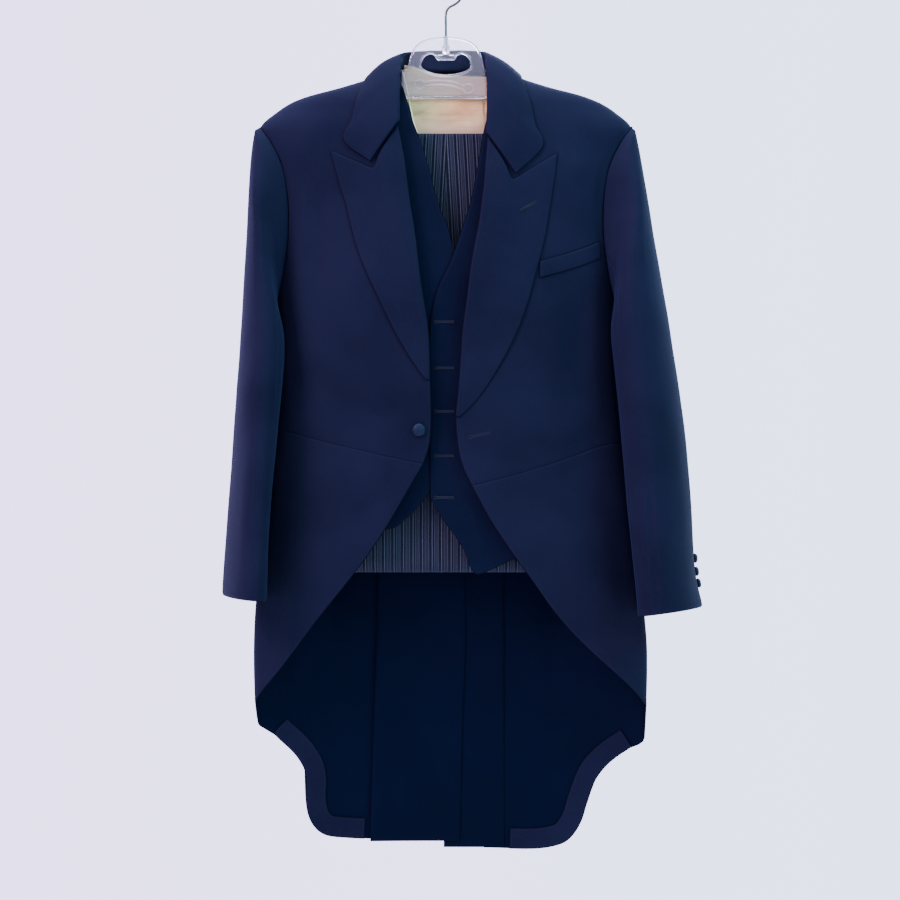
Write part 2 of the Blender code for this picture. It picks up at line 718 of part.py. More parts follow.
def coat_buttons(sleeves):
    """The front button, two behind the waist and three on each cuff."""
    place = COAT.front(*FRONT_BUTTON)
    button("coat_front_button", COAT.lifted(*place, 0.4), COAT.normal(*place), BUTTON, 8, coat_cloth())
    for side in (-1, 1):
        spot = COAT.behind(side * BACK_BUTTON[0], BACK_BUTTON[1])
        button(f"coat_back_button_{side_name(side)}", COAT.lifted(*spot, 0.5), COAT.normal(*spot),
               BUTTON, 8, coat_cloth())
        surface = sleeves[side]
        angle, places = CUFF_BUTTONS[side]
        for i, s in enumerate(places):
            button(f"coat_cuff_button_{side_name(side)}_{i + 1}", surface.lifted(angle, s, 0.5),
                   surface.normal(angle, s), CUFF_BUTTON, 7, coat_cloth())


def waistcoat_armhole(side):
    """Front of the waistcoat's armhole, from the shoulder to the side."""
    marks = [(side * 90, -157)] + [WAISTCOAT.front(side * x, z) for x, z in WAISTCOAT_ARMHOLE]
    return run(marks + [(side * 90, WAISTCOAT_SIDE)], 9)


def waistcoat_shoulder(side):
    return run([(side * 90, -117), (side * 90, -157)], 4)


def waistcoat_side(side):
    return run([(side * 90, WAISTCOAT_SIDE), (side * 90, WAISTCOAT_HEM[side][-1][1])], 5)


def waistcoat_front(side):
    """Front of the waistcoat; the left one laps over the right one."""
    right = join(waistcoat_shoulder(side), waistcoat_armhole(side), waistcoat_side(side))
    neck = front_places(WAISTCOAT, WAISTCOAT_NECK[side])
    left = join(run(neck[:3], 6), run(neck[2:], len(right) - 7))
    hem = front_places(WAISTCOAT, WAISTCOAT_HEM[side][:-1]) + [right[-1]]
    hem = join(run(hem[:3], 3), run(hem[2:], 5))
    grid = fill(left, right, run([left[0], right[0]], 8), hem)
    sink = 3.0 if side < 0 else 0

    def top(r, c):
        away = max(1 - c / 0.8, 0) * min(r / 0.15, 1)
        return -sink * away

    return cloth(f"waistcoat_front_{side_name(side)}", WAISTCOAT, grid, top,
                 lambda r, c: top(r, c) - WAISTCOAT_WALL, waistcoat_cloth())


def waistcoat_back(side):
    """Half of the waistcoat's back, of lining cloth."""
    armhole = [(side * 180 - turn, height) for turn, height in waistcoat_armhole(side)]
    outer = join(waistcoat_shoulder(side), armhole, waistcoat_side(side))
    centre = side * 180
    yoke = (centre, -166)
    inner = join(run([(centre, -120), yoke], 6), run([yoke, (centre, WAISTCOAT_BACK_HEM)], len(outer) - 7))
    grid = fill(inner, outer, run([inner[0], outer[0]], 5), run([inner[-1], outer[-1]], 5))
    return cloth(f"waistcoat_back_{side_name(side)}", WAISTCOAT, grid, 0, -WAISTCOAT_WALL, back_lining())


def ease(share):
    share = min(max(share, 0), 1)
    return share * share * (3 - 2 * share)


waist_line = through(*zip(*WAIST_LINE))


def front_top(x):
    """Height of the front waist edge, which droops to the sides."""
    return FRONT_WAIST - 44 * ease((abs(x) - 45) / 130)


def back_top(x):
    """Height of the back waist edge, drawn up behind the hanger's plate."""
    return waist_line(x) - 135 * ease((abs(x) - 42) / 75)


def back_depth(z):
    """Depth of the back panel: behind the plate above, ahead of the bar below."""
    return LAYERS["back rising"] + (LAYERS["back"] - LAYERS["back rising"]) * ease((-168 - z) / 38)


def trouser_surface(outer):
    """A layer of the folded trousers: across in millimetres, and 0 to 2 from the waist round the fold."""
    near = LAYERS["front" if outer else "back"]
    far = LAYERS["front rising" if outer else "back rising"]
    radius = (far - near) / 2
    turn_z = FOLD + (LAYERS["front rising"] - LAYERS["front"]) / 2

    def point(x, s):
        start = front_top(x) if outer else back_top(x)
        if s <= 1:
            z = start + (turn_z - start) * s
            y = near if outer else back_depth(z)
        elif s <= 1.2:
            angle = math.pi * (s - 1) / 0.2
            z = turn_z - radius * math.sin(angle)
            y = (near + far) / 2 - radius * math.cos(angle)
        else:
            z = turn_z + (LEG_END - turn_z) * (s - 1.2) / 0.8
            y = far
        return Vector((x, y, z))
    return Surface(point, steps=(0.5, 0.004), flip=-1 if outer else 1)


def trousers(side):
    """One leg: its front panel outside the fold and its back panel inside it."""
    upper = [0, 0.03, 0.06, 0.09, 0.12, 0.16, 0.22, 0.4, 0.7]
    down = upper + [1 + 0.2 * i / 6 for i in range(7)] + [1.5, 2.0]
    columns = 9
    grid = [[(side * TROUSER_HALF * j / columns, s) for j in range(columns + 1)] for s in down]
    for part in ("front", "back"):
        surface = trouser_surface(part == "front")
        cloth(f"trouser_{part}_{side_name(side)}", surface, grid, 0, -TROUSER_WALL, trouser_cloth(), gap=0.3)


def waist_pieces():
    """Cream waist lining and the curtain below it, inside the back of the trousers."""
    def point(x, z):
        ahead = 1.45 + 2.0 * ease((-156 - z) / 14)
        return Vector((x, back_depth(z) - TROUSER_WALL - ahead, z))

    surface = Surface(point)
    first, last = WAIST_LINE[0][0] + 4, WAIST_LINE[-1][0] - 2
    across = [first + (last - first) * j / 8 for j in range(9)]
    edge = [(x, waist_line(x) - 2) for x in across]
    join_line = [(x, WAIST_JOIN) for x in across]
    end = [(x, CURTAIN_END) for x in across]
    bands = (("trouser_waist_lining", edge, join_line, 3), ("trouser_curtain", join_line, end, 7))
    for name, top, bottom, rows in bands:
        grid = [[(x, high + (low - high) * i / rows) for (x, high), (_, low) in zip(top, bottom)]
                for i in range(rows + 1)]
        cloth(name, surface, grid, 0, -LINING_WALL, waist_lining(), gap=0.25)


def hanger_outline():
    """Half outline of the hanger at +X, from the dome's top to the middle of the plate's foot."""
    ridge = through([row[1] for row in COAT_RINGS[:10]], [row[0] for row in COAT_RINGS[:10]])
    dome = [(0, -78), (15, -79.3), (29, -83.5), (37, -89.5), (42, -98), (45, -108), (47, -118)]
    over = [(x, ridge(x) - HANGER_DROP) for x in (62, 80, 100, 130, 160, 185, 205, 211)]
    end = [(213, -190), (209, -203), (204, -212), (198, -219)]
    foot = [(60, -219), (0, -219)]
    return dome + over + end + foot


def hanger():
    """Clear plate with its window, arms and trouser bar in one piece."""
    half = hanger_outline()
    outer = half + [(-x, z) for x, z in half[-2:0:-1]]
    window_half = [(0, -106.5), (7, -106), (12, -101), (18, -98.5), (25, -101), (29.5, -108), (30, -114),
                   (26, -119), (12, -123.5), (0, -124.5)]
    window = window_half + [(-x, z) for x, z in window_half[-2:0:-1]]
    under_arm = [(196, -197), (186, -188), (160, -175), (130, -164), (100, -154), (75, -148), (58, -150),
                 (40, -153), (0, -153)]
    bar_top = [(-190, -212), (0, -212), (190, -212)]
    lower = under_arm + [(-x, z) for x, z in under_arm[-2::-1]] + bar_top
    loops = [outer, window, lower]
    flat = [[Vector((x, z, 0)) for x, z in loop] for loop in loops]
    caps = tessellate_polygon(flat)
    places = [point for loop in loops for point in loop]
    count = len(places)
    y = HANGER_THICK / 2
    points = [Vector((x, -y, z)) for x, z in places] + [Vector((x, y, z)) for x, z in places]
    faces = [tuple(face) for face in caps] + [tuple(i + count for i in face[::-1]) for face in caps]
    start = 0
    for loop in loops:
        for i in range(len(loop)):
            a, b = start + i, start + (i + 1) % len(loop)
            faces.append((a, b, b + count, a + count))
        start += len(loop)
    return solid("hanger_body", points, faces, clear_plastic(), smooth=35)


def tube(name, path, radius, sides, finish):
    """Round wire along a path that lies in the plane y = 0."""
    points, faces = [], []
    for i, place in enumerate(path):
        low, high = path[max(i - 1, 0)], path[min(i + 1, len(path) - 1)]
        along = (high - low).normalized()
        across = along.cross(Vector((0, 1, 0))).normalized()
        for k in range(sides):
            turn = math.tau * k / sides
            ring = across * math.cos(turn) + Vector((0, 1, 0)) * math.sin(turn)
            points.append(place + ring * radius)
    for i in range(len(path) - 1):
        for k in range(sides):
            a, b = i * sides + k, i * sides + (k + 1) % sides
            faces.append((a, b, b + sides, a + sides))
    faces.append(tuple(range(sides))[::-1])
    faces.append(tuple(range((len(path) - 1) * sides, len(path) * sides)))
    return solid(name, points, faces, finish)


def hook():
    """Steel hook: straight neck that bends into a loop open at one side."""
    bend = HOOK_RADIUS + WIRE / 2
    centre = Vector((0, 0, -HOOK_RADIUS))
    path = [Vector((0, 0, z)) for z in (-77.5, -64, -52)]
    path += [Vector((1.2, 0, -46)), Vector((5, 0, -41.6))]
    for i in range(19):
        turn = math.radians(-62 + (262 * i / 18))
        path.append(centre + Vector((math.cos(turn), 0, math.sin(turn))) * bend)
    return tube("hanger_hook", path, WIRE / 2, 10, hook_steel())


def build():
    clear()
    sleeves = {}
    for side in (-1, 1):
        forepart(side)
        sidebody(side)
        back(side)
        skirt(side)
        tail_facing(side)
        lapel(side)
        sleeves[side] = sleeve(side)
    collar()
    welt()
    coat_buttons(sleeves)
    for side in (-1, 1):
        waistcoat_front(side)
        waistcoat_back(side)
        trousers(side)
    waist_pieces()
    hanger()
    hook()


build()
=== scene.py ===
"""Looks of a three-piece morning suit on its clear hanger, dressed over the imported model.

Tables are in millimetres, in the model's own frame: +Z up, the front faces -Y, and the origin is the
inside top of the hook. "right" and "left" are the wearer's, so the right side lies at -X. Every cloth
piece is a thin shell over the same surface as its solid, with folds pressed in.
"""
import math

import bmesh
import bpy
import numpy as np
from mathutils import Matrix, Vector
from mathutils.geometry import tessellate_polygon


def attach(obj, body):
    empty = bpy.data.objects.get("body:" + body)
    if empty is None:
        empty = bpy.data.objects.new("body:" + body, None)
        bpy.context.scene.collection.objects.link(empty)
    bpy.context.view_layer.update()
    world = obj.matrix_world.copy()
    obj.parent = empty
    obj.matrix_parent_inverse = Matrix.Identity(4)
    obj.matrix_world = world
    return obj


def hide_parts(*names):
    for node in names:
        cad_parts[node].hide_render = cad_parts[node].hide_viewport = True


MM = 0.001

# Driving sizes
COAT_WALL = 2.0
LAPEL_WALL = 2.4
WAISTCOAT_WALL = 1.5
TROUSER_WALL = 1.5
WAISTCOAT_DROP = 3.8
HANGER_DROP = 6.4
WIRE = 3.0
HOOK_RADIUS = 20.0
BUTTON = 15.0
CUFF_BUTTON = 11.5
SQUARENESS = 2.3

# Body of the coat, a row for each ring: height, half width, centre, depth to front and to back
COAT_RINGS = [
    (-100, 48, 0, 18, 32), (-112, 61, 0, 27, 37), (-121, 76, 0, 33, 39), (-130, 92, 0, 38, 41),
    (-142, 129, 0, 43, 43), (-154, 174, 0, 46, 45), (-161, 191, 0, 48, 46), (-173, 209, 0, 50, 48),
    (-186, 224, 0, 52, 49), (-196, 229, 0, 53, 50), (-212, 226, 0, 55, 50), (-250, 215, 0, 60, 51),
    (-300, 208, 0, 63, 52), (-360, 206, 0, 64, 50), (-405, 206, 0, 63, 47), (-480, 206, 1, 60, 42),
    (-560, 212, 3, 57, 39), (-620, 218, 4, 55, 40), (-700, 228, 5, 53, 41), (-766, 236, 5, 51, 42),
    (-830, 240, 6, 49, 42), (-890, 239, 6, 47, 41), (-950, 236, 6, 44, 39), (-1080, 232, 6, 40, 35)]

# Shoulder seam of the coat, from the neck to the armhole
NECK_TOP = -113
SHOULDER_END = -187

# Armhole of the coat: turn from the front centre in degrees, height
ARMHOLE_FRONT = [(90, -187), (78, -192), (70, -201), (64, -230), (63, -267), (65, -321), (69, -358),
                 (78, -390)]
ARMHOLE_UNDER = [(78, -390), (90, -405), (103, -396), (112, -362)]
ARMHOLE_BACK = [(112, -362), (116, -325), (118, -267), (116, -230), (110, -201), (102, -192), (90, -187)]

# Edges seen from the front: across, height. The right side of the coat, then its left side.
ROLL = {
    -1: [(-57, -195), (-50, -232), (-44, -279), (-37, -321), (-30, -380), (-21, -440), (-19, -498)],
    1: [(50, -209), (46, -262), (39, -315), (31, -356), (25, -404), (20, -440), (17, -487), (12, -542)]}
FRONT_EDGE = {
    -1: [(-19, -498), (-18, -540), (-20, -575), (-27, -598)],
    1: [(12, -542), (14, -570), (19, -597), (31, -624)]}
GORGE = {-1: [(-57, -195), (-87, -246), (-138, -224)], 1: [(50, -209), (80, -260), (133, -228)]}
LAPEL_EDGE = {
    -1: [(-138, -224), (-129, -256), (-120, -285), (-108, -333), (-96, -366), (-78, -405), (-61, -440),
         (-40, -476), (-24, -498)],
    1: [(133, -227), (129, -262), (118, -327), (106, -374), (96, -410), (84, -442), (64, -481),
        (40, -518), (17, -542)]}
CUTAWAY = {
    -1: [(-27, -600), (-39, -618), (-69, -670), (-109, -728), (-153, -783), (-191, -834), (-219, -869),
         (-232, -893)],
    1: [(31, -626), (38, -642), (59, -673), (84, -711), (112, -749), (139, -786), (176, -825), (212, -857),
        (234, -880), (244, -900)]}
TAIL_HEM = {
    -1: [(-232, -893), (-231, -914), (-212, -930), (-189, -953), (-176, -972), (-172, -990), (-173, -1007),
         (-170, -1030), (-162, -1046), (-149, -1056), (-123, -1060), (-60, -1063)],
    1: [(244, -900), (243, -932), (228, -946), (209, -960), (189, -980), (176, -1010), (166, -1041),
        (150, -1063), (130, -1071), (103, -1074), (48, -1073)]}
# Waist seam: height at the front edge, beside the chest, at the side and at the back
WAIST_FRONT = {-1: [(-115, -579), (-185, -561)], 1: [(124, -599), (186, -577)]}
WAIST_BACK = -556

# Back strips below the waist: height, edge beside the pleat, edge of the vent
STRIPS = {
    -1: [(-556, -80, -0.5), (-585, -82, 12), (-768, -84, 13), (-900, -88, 8), (-1064, -93, 4)],
    1: [(-556, 74, 0.5), (-585, 74, -14), (-768, 71, -14), (-900, 71, -14), (-1072, 71, -14)]}
PLEAT_LAP = 24.0

# Collar stations from the centre back to the gorge: outer edge across and height (None is the
# shoulder line), fold, foot of the stand, bulge of the fall
COLLAR = [
    (0, -131, 0, 38.5, -88.5, 0, 32.0, -115, 3.0),
    (45, -131, 29, 34.0, -90, 29, 27.0, -115, 3.0),
    (76, -130, 45.5, 19, -94, 47, 14.5, -115, 4.0),
    (None, -128.5, 52, 0.0, -99, 54.5, 0.0, -115, 3.0),
    (97, -139, 55.5, -18, -106, 55.5, -14.5, -114, 3.8),
    (106, -163, 56.5, -34.5, -123, 56.5, -30, -127, 4.0),
    (113, -190, 57, -47, -149, 57, -42, -151, 4.2),
    (121, -213, 57, -53.3, -173, 57, -48, -174, 3.8),
    (90, -238, 57, -55.7, -190, 57, -50.5, -189, 2.8)]
COLLAR_LIFT = 2.2
NECK_SETBACK = 7.0
COLLAR_LEFT_SHIFT = [(0, 0), (0, 0), (-1, 0), (-3, 0), (-6, -1), (-6, -2), (-6, -5), (-6, -7), (-7, -15)]

# Sleeves: outer point, inner point (across, height), half depth, centre in y, toe-in in degrees. The
# head is the share of the length above the first row, and the armhole's shape fades out over the blend.
SLEEVES = {
    -1: [(-234, -196, -204, -414, 52, -8, 0), (-238, -250, -198, -430, 60, -9, 2),
         (-243, -330, -194, -455, 64, -12, 5), (-249, -425, -196, -500, 65, -16, 9),
         (-257, -540, -202, -575, 65, -24, 13), (-265, -650, -209, -662, 64, -32, 17),
         (-271, -756, -213, -761, 63, -38, 18)],
    1: [(232, -196, 204, -414, 52, -8, 0), (241, -250, 199, -430, 60, -9, 2),
        (255, -330, 199, -455, 64, -12, 7), (272, -425, 204, -500, 65, -16, 12),
        (288, -540, 211, -575, 65, -24, 17), (296, -645, 218, -660, 63, -34, 21),
        (300, -722, 225, -735, 62, -39, 22), (309, -768, 229, -781, 62, -42, 23)]}
SLEEVE_SEAMS = (-62, 128)
SLEEVE_CLEAR = 2.0
SLEEVE_BLEND = 7.0
SLEEVE_HEAD = 0.12
HEAD_BLEND = 0.3

# Buttons: depths and how far they stand off, the coat's front one, the ones behind its waist, and the
# angle and places down each cuff
BUTTON_DEEP = 8
CUFF_BUTTON_DEEP = 7
FRONT_STAND = 0.4
BUTTON_STAND = 0.5
FRONT_BUTTON = (-32, -558)
BACK_BUTTON = (62, -567)
CUFF_BUTTONS = {-1: (288, (0.935, 0.957, 0.979)), 1: (324, (0.853, 0.885, 0.921))}

# Dome of a button, as shares of its diameter and its depth
BUTTON_DOME = [(0.30, 0.33), (0.44, 0.36), (0.49, 0.44), (0.505, 0.54), (0.49, 0.66), (0.455, 0.77),
               (0.40, 0.86), (0.32, 0.93), (0.22, 0.975), (0.11, 0.995)]

# Breast welt on the left chest: across and height of its four corners
WELT = [(112, -357), (184, -331), (186, -351), (112, -376)]

# Waistcoat, edges seen from the front
WAISTCOAT_NECK = {
    -1: [(-60, -121), (-52, -145), (-46, -164), (-34, -203), (-11, -283), (8, -340), (9, -420), (9, -520),
         (6, -596), (-20, -632)],
    1: [(60, -121), (55, -145), (51, -165), (47, -195), (38, -245), (29, -290), (13, -337), (-4, -379),
        (-16, -412), (-19, -450), (-19, -560), (-18, -640)]}
WAISTCOAT_HEM = {
    -1: [(-20, -632), (-41, -659), (-69, -676), (-110, -668), (-184, -640)],
    1: [(-18, -640), (11, -684), (38, -731), (53, -718), (88, -708), (184, -655)]}
WAISTCOAT_ARMHOLE = [(149, -163), (146, -175), (142, -192), (140, -212), (143, -260), (155, -330),
                     (172, -385)]
WAISTCOAT_SHOULDER = (-117, -157)
WAISTCOAT_SIDE = -432
WAISTCOAT_BACK_HEM = -640

# Trousers, hung by the back of the waist and folded over
TROUSER_HALF = 168.0
FRONT_WAIST = -200.0
FOLD = -731.0
LEG_END = -212.0
FOLD_SHARE = 0.2
ROWS_ABOVE_FOLD = 20
LAYERS = {"front": -20.5, "back": -10.5, "back rising": 6.5, "front rising": 13.5}

# Back waist, drawn up behind the hanger's plate: across, height of its edge
WAIST_LINE = [(-54, -110), (-40, -112.5), (-28, -117), (-8, -122.5), (17, -124), (54, -125)]
WAIST_JOIN = -150.0
BACK_DROOP = (135, 42, 75)
FRONT_DROOP = (44, 45, 130)
CURTAIN_END = -210.0
LINING_WALL = 1.0
LINING_TUCK = (-156, 14, 2.0)
LINING_GAP = 1.45
TRIM_GAP = 3.2
PLATE_FOOT = (-168, 38)

# Grids of the fine cloth: steps to each row and column of the solids' grids, and closer ones at borders
DOWN = 5
ACROSS = 6
BORDER = (0.0, 0.03, 0.08, 0.2)

# Edges of the cloth: the outer face stops short of the seam, the inner one laps under the next piece,
# and both draw together over the rounding
SEAM_STEP = 0.05
UNDERLAP = 0.8
UNDERARM_TUCK = 3.5
ROUNDING = 1.8
EDGE_TAPER = 0.36
ROLL_REACH = 1.3

# Thin pieces and how far they stand off the cloth below
LAPEL_SHELL = 1.95
LAPEL_GAP = 0.45
LAPEL_BELLY = 3.0
WELT_SHELL = 1.25
WELT_STAND = 1.7
HEM_BAND = 24.0
HEM_SHELL = 1.1
HEM_GAP = 0.9
BACK_SINK = {-1: 5.6, 1: 2.8}
STRIP_BEND = 0.03
WAISTCOAT_LAP = 3.0

# Low waves in all wide cloth: height, length across and down, start
WAVES = [(0.30, 31, 83, 0.7), (0.26, 57, -49, 2.1), (0.16, 17, 29, 4.0), (0.10, 11, -13, 1.2)]
FOLD_STRENGTH = 1.5
FOLD_FADE = 12.0

# Soft folds, as (points across and height, half width, height).
# The front ones are pressed into cloth that faces the front, the back ones into cloth that faces back.
FRONT_FOLDS = {
    "coat_forepart_right": [
        ([(-159, -242), (-172, -315), (-178, -375), (-172, -470)], 13, 2.0),
        ([(-150, -262), (-155, -330), (-156, -390)], 11, -1.5), ([(-157, -405), (-157, -480)], 2.2, -0.5),
        ([(-45, -548), (-110, -528), (-165, -495)], 15, -1.1),
        ([(-46, -580), (-120, -562), (-170, -552)], 13, 0.8),
        ([(-120, -180), (-160, -200), (-190, -240)], 16, 1.0),
        ([(-70, -470), (-110, -440), (-128, -400)], 12, 0.7), ([(-186, -420), (-182, -520)], 9, -1.0)],
    "coat_forepart_left": [
        ([(171, -201), (184, -238)], 9, -1.2), ([(155, -232), (161, -264)], 9, 0.9),
        ([(188, -255), (190, -296)], 6, -1.1), ([(150, -385), (158, -430), (150, -500)], 16, -0.9),
        ([(120, -395), (128, -460), (120, -520)], 14, 0.9), ([(146, -430), (146, -492)], 2.2, -0.45),
        ([(34, -572), (38, -602)], 3.6, -0.5), ([(45, -570), (48, -604)], 3.4, -0.55),
        ([(57, -566), (60, -594)], 3.6, -0.4), ([(60, -545), (110, -560), (160, -565)], 14, 0.8),
        ([(180, -360), (178, -470), (184, -550)], 10, 1.2)],
    "coat_skirt_right": [
        ([(-100, -610), (-150, -700), (-178, -790)], 20, 1.4),
        ([(-190, -580), (-205, -700), (-212, -820)], 14, -1.6), ([(-60, -615), (-110, -690)], 12, -0.8)],
    "coat_skirt_left": [
        ([(110, -625), (160, -710), (200, -800)], 20, 1.3),
        ([(190, -600), (212, -720), (222, -840)], 14, -1.6), ([(70, -630), (110, -690)], 12, -0.7)],
    "coat_lapel_right": [
        ([(-120, -262), (-100, -340), (-70, -410)], 12, 0.5),
        ([(-75, -260), (-62, -330), (-45, -400)], 12, -0.5)],
    "coat_lapel_left": [
        ([(118, -262), (104, -340), (74, -430)], 12, 0.5), ([(75, -262), (64, -340), (44, -430)], 12, -0.5),
        ([(60, -330), (95, -345)], 10, -0.4)],
    "coat_topsleeve_right": [
        ([(-226, -250), (-224, -330), (-226, -400)], 6, 1.2),
        ([(-238, -240), (-246, -330), (-252, -420)], 10, -1.0),
        ([(-218, -450), (-240, -470), (-256, -460)], 11, -1.5),
        ([(-216, -500), (-238, -515), (-260, -500)], 10, 1.2),
        ([(-225, -560), (-236, -650), (-238, -740)], 9, 1.1)],
    "coat_topsleeve_left": [
        ([(230, -250), (232, -340), (240, -430)], 6, 1.2),
        ([(246, -240), (256, -330), (266, -430)], 10, -1.0),
        ([(243, -600), (249, -692), (255, -780)], 3.2, 1.3),
        ([(238, -600), (243, -692), (249, -780)], 4.0, -1.2),
        ([(222, -460), (246, -478), (276, -465)], 12, -1.5),
        ([(222, -510), (250, -522), (282, -508)], 10, 1.2),
        ([(275, -560), (284, -650), (292, -740)], 11, 1.0)],
    "waistcoat_front_left": [
        ([(30, -300), (50, -380), (60, -470)], 14, 0.8), ([(5, -420), (30, -455)], 8, -0.7),
        ([(12, -484), (44, -500)], 8, -0.7), ([(12, -589), (46, -606)], 9, -0.8),
        ([(24, -640), (44, -700)], 8, 1.0)],
    "waistcoat_front_right": [
        ([(-38, -200), (-30, -300), (-12, -400)], 12, 0.8), ([(-26, -240), (-8, -330)], 8, -0.6),
        ([(-30, -640), (-50, -668)], 8, 0.8)],
}
BACK_FOLDS = {
    "coat_back_right": [
        ([(-28, -200), (-34, -330), (-24, -450)], 16, 1.2),
        ([(-90, -180), (-110, -260), (-104, -360)], 16, -1.2), ([(-52, -1010), (-57, -1034)], 5, -1.2),
        ([(-30, -640), (-36, -780)], 12, -0.8)],
    "coat_back_left": [
        ([(30, -210), (34, -330), (26, -450)], 16, 1.2), ([(88, -180), (108, -270), (100, -370)], 16, -1.1),
        ([(16, -1012), (36, -1024), (60, -1032)], 6, -1.5), ([(44, -660), (40, -800)], 12, 0.8)],
    "coat_skirt_right": [
        ([(-157, -850), (-158, -900), (-157, -955)], 5.5, -1.8),
        ([(-130, -620), (-140, -760), (-132, -900)], 15, 1.8),
        ([(-176, -640), (-186, -780), (-180, -900)], 16, -1.6)],
    "coat_skirt_left": [
        ([(128, -620), (136, -760), (128, -920)], 15, 1.8),
        ([(178, -640), (190, -780), (182, -930)], 16, -1.6)],
    "coat_undersleeve_right": [
        ([(-224, -470), (-240, -482), (-252, -470)], 11, -1.4),
        ([(-220, -530), (-240, -545), (-256, -528)], 10, 1.1)],
    "coat_undersleeve_left": [
        ([(228, -480), (250, -492), (272, -480)], 11, -1.4),
        ([(228, -540), (254, -552), (280, -538)], 10, 1.1)],
    "waistcoat_back_right": [
        ([(-40, -200), (-60, -330), (-50, -480)], 14, 1.0),
        ([(-110, -300), (-120, -420), (-112, -560)], 12, -1.0)],
    "waistcoat_back_left": [
        ([(36, -210), (54, -330), (48, -480)], 14, 1.0),
        ([(108, -290), (122, -420), (110, -570)], 12, -1.0)],
}

# Small dimples where the back strips are caught down by hand: height and reach, then their places
DIMPLE = ((1.1, 3.6), (-0.5, 8))
CAUGHT = {
    "coat_back_right": [(-80, -900), (-79, -947), (-80, -977), (-7, -875), (-6, -926), (-7, -974)],
    "coat_back_left": [(66, -854), (64, -932), (66, -990), (62, -890)],
}

# Creases of the cream curtain: path, half width, depth
CURTAIN_CREASES = [
    ([(-41, -176), (-26, -168), (-8, -158)], 3.2, 1.5), ([(-36, -184), (-10, -172), (14, -166)], 5, -0.9),
    ([(-4, -190), (18, -180), (40, -178)], 5, 0.9), ([(20, -158), (32, -170), (38, -190)], 4, 0.8)]

# Buttonholes: the end with the eyelet and the far end, across and height; how far each end stands off
# the cloth, and the eyelet's size
HOLES = [
    ("coat", ((29, -567), (52, -561)), (0.1, 0.1), 1.5),
    ("lapel", ((107, -287), (89, -297)), (2.5, 2.7), 1.2)]
WAISTCOAT_HOLES = (-429, -484, -536, -589, -639)
WAISTCOAT_HOLE_ENDS = (-12, 9)
WAISTCOAT_HOLE_LIFT = 0.1
WAISTCOAT_EYELET = 1.3

# Hanger, each half seen from the front: dome of its plate, places along its arm, the arm's end, its
# foot, the window in the plate, the edge under the arm; then the bar, the hook's socket as radius and
# height, the turn of the hook's loop in degrees, and its neck
HANGER_DOME = [(0, -78), (15, -79.3), (29, -83.5), (37, -89.5), (42, -98), (45, -108), (47, -118)]
ARM_PLACES = (62, 80, 100, 130, 160, 185, 205, 211)
ARM_END = [(213, -190), (209, -203), (204, -212), (198, -219)]
HANGER_FOOT = [(60, -219), (0, -219)]
WINDOW = [(0, -106.5), (7, -106), (12, -101), (18, -98.5), (25, -101), (29.5, -108), (30, -114), (26, -119),
          (12, -123.5), (0, -124.5)]
UNDER_ARM = [(196, -197), (186, -188), (160, -175), (130, -164), (100, -154), (75, -148), (58, -150),
             (40, -153), (0, -153)]
BAR_TOP = [(-190, -212), (0, -212), (190, -212)]
SOCKET = [(2.4, -77.6), (2.9, -78.2), (3.0, -84), (3.1, -88), (4.6, -89.5), (4.8, -94), (4.7, -99),
          (4.2, -100)]
HOOK_TURN = (-62, 200)
HOOK_NECK = [(0, 0, -96), (0, 0, -77.5), (0, 0, -64), (0, 0, -52), (1.2, 0, -46), (5, 0, -41.6)]

# Round pads moulded in the hanger's plate: across and height; half thickness of its web, and how far
# the pads and bars stand in front of its middle
PADS = {-1: (-32, -136), 1: (27, -141)}
PAD_RADII = (6.0, 5.6)
PAD_FRONT = -2.0
PAD_FLAT = 0.9
WEB_HALF = 1.3
RIB_RADIUS = 1.4
TRIM_RADIUS = 0.9
TRIM_FRONT = -1.9
SOCKET_FLAT = 0.9

# Trouser stripes: repeat in millimetres and how far each side leans in to the centre seam
STRIPE_REPEAT = 11.5
STRIPE_LEAN = 0.055
LEAN_REACH = 300

# One repeat of the stripes: share of the way across, and the tone there
STRIPES = [
    (0.0, "bright"), (0.09, "bright"), (0.115, "dark"), (0.255, "dark"), (0.28, "pale"), (0.385, "mid"),
    (0.405, "dark"), (0.445, "dark"), (0.465, "mid"), (0.535, "mid"), (0.555, "dark"), (0.595, "dark"),
    (0.615, "mid"), (0.72, "pale"), (0.745, "dark"), (0.985, "dark")]


# Studio, in metres: camera, floor, backdrop tones to the left and right, and the lights as name, place,
# target, size, watts and colour
CAMERA_PLACE = (0.005, -2.4, -0.582)
LENS = 78.7
SENSOR = 36.0
FLOOR_RADIUS = 3.0
FLOOR_HEIGHT = -1.9
BACKDROP = ((0.98, 0.80, 1.40, 1.0), (0.78, 0.95, 1.22, 1.0))
BACKDROP_SPREAD = (-0.3, 0.3)
BACKDROP_STRENGTH = 3.1
LIGHTS = [
    ("front left light", (-1.7, -1.5, 1.0), (-0.1, 0, -0.4), 1.1, 190, (0.98, 0.62, 1.0)),
    ("front right light", (1.8, -1.3, 0.9), (0.1, 0, -0.4), 1.1, 120, (0.02, 0.80, 1.0)),
    ("top light", (0, -0.15, 1.3), (0, 0, -0.3), 1.0, 95, (0.75, 0.80, 1.0)),
    ("back light", (0.6, 2.2, 1.0), (0, 0, -0.5), 1.4, 60, (0.75, 0.82, 1.0))]


def through(keys, values):
    """A smooth curve through rows that never overshoots them, as a function of the key."""
    order = np.argsort(keys)
    x = np.array(keys, float)[order]
    y = np.array(values, float)[order]
    slope = np.diff(y) / np.diff(x)
    tangent = np.concatenate([slope[:1], level_slopes(slope), slope[-1:]])
    return lambda key: hermite(x, y, tangent, np.clip(key, x[0], x[-1]))


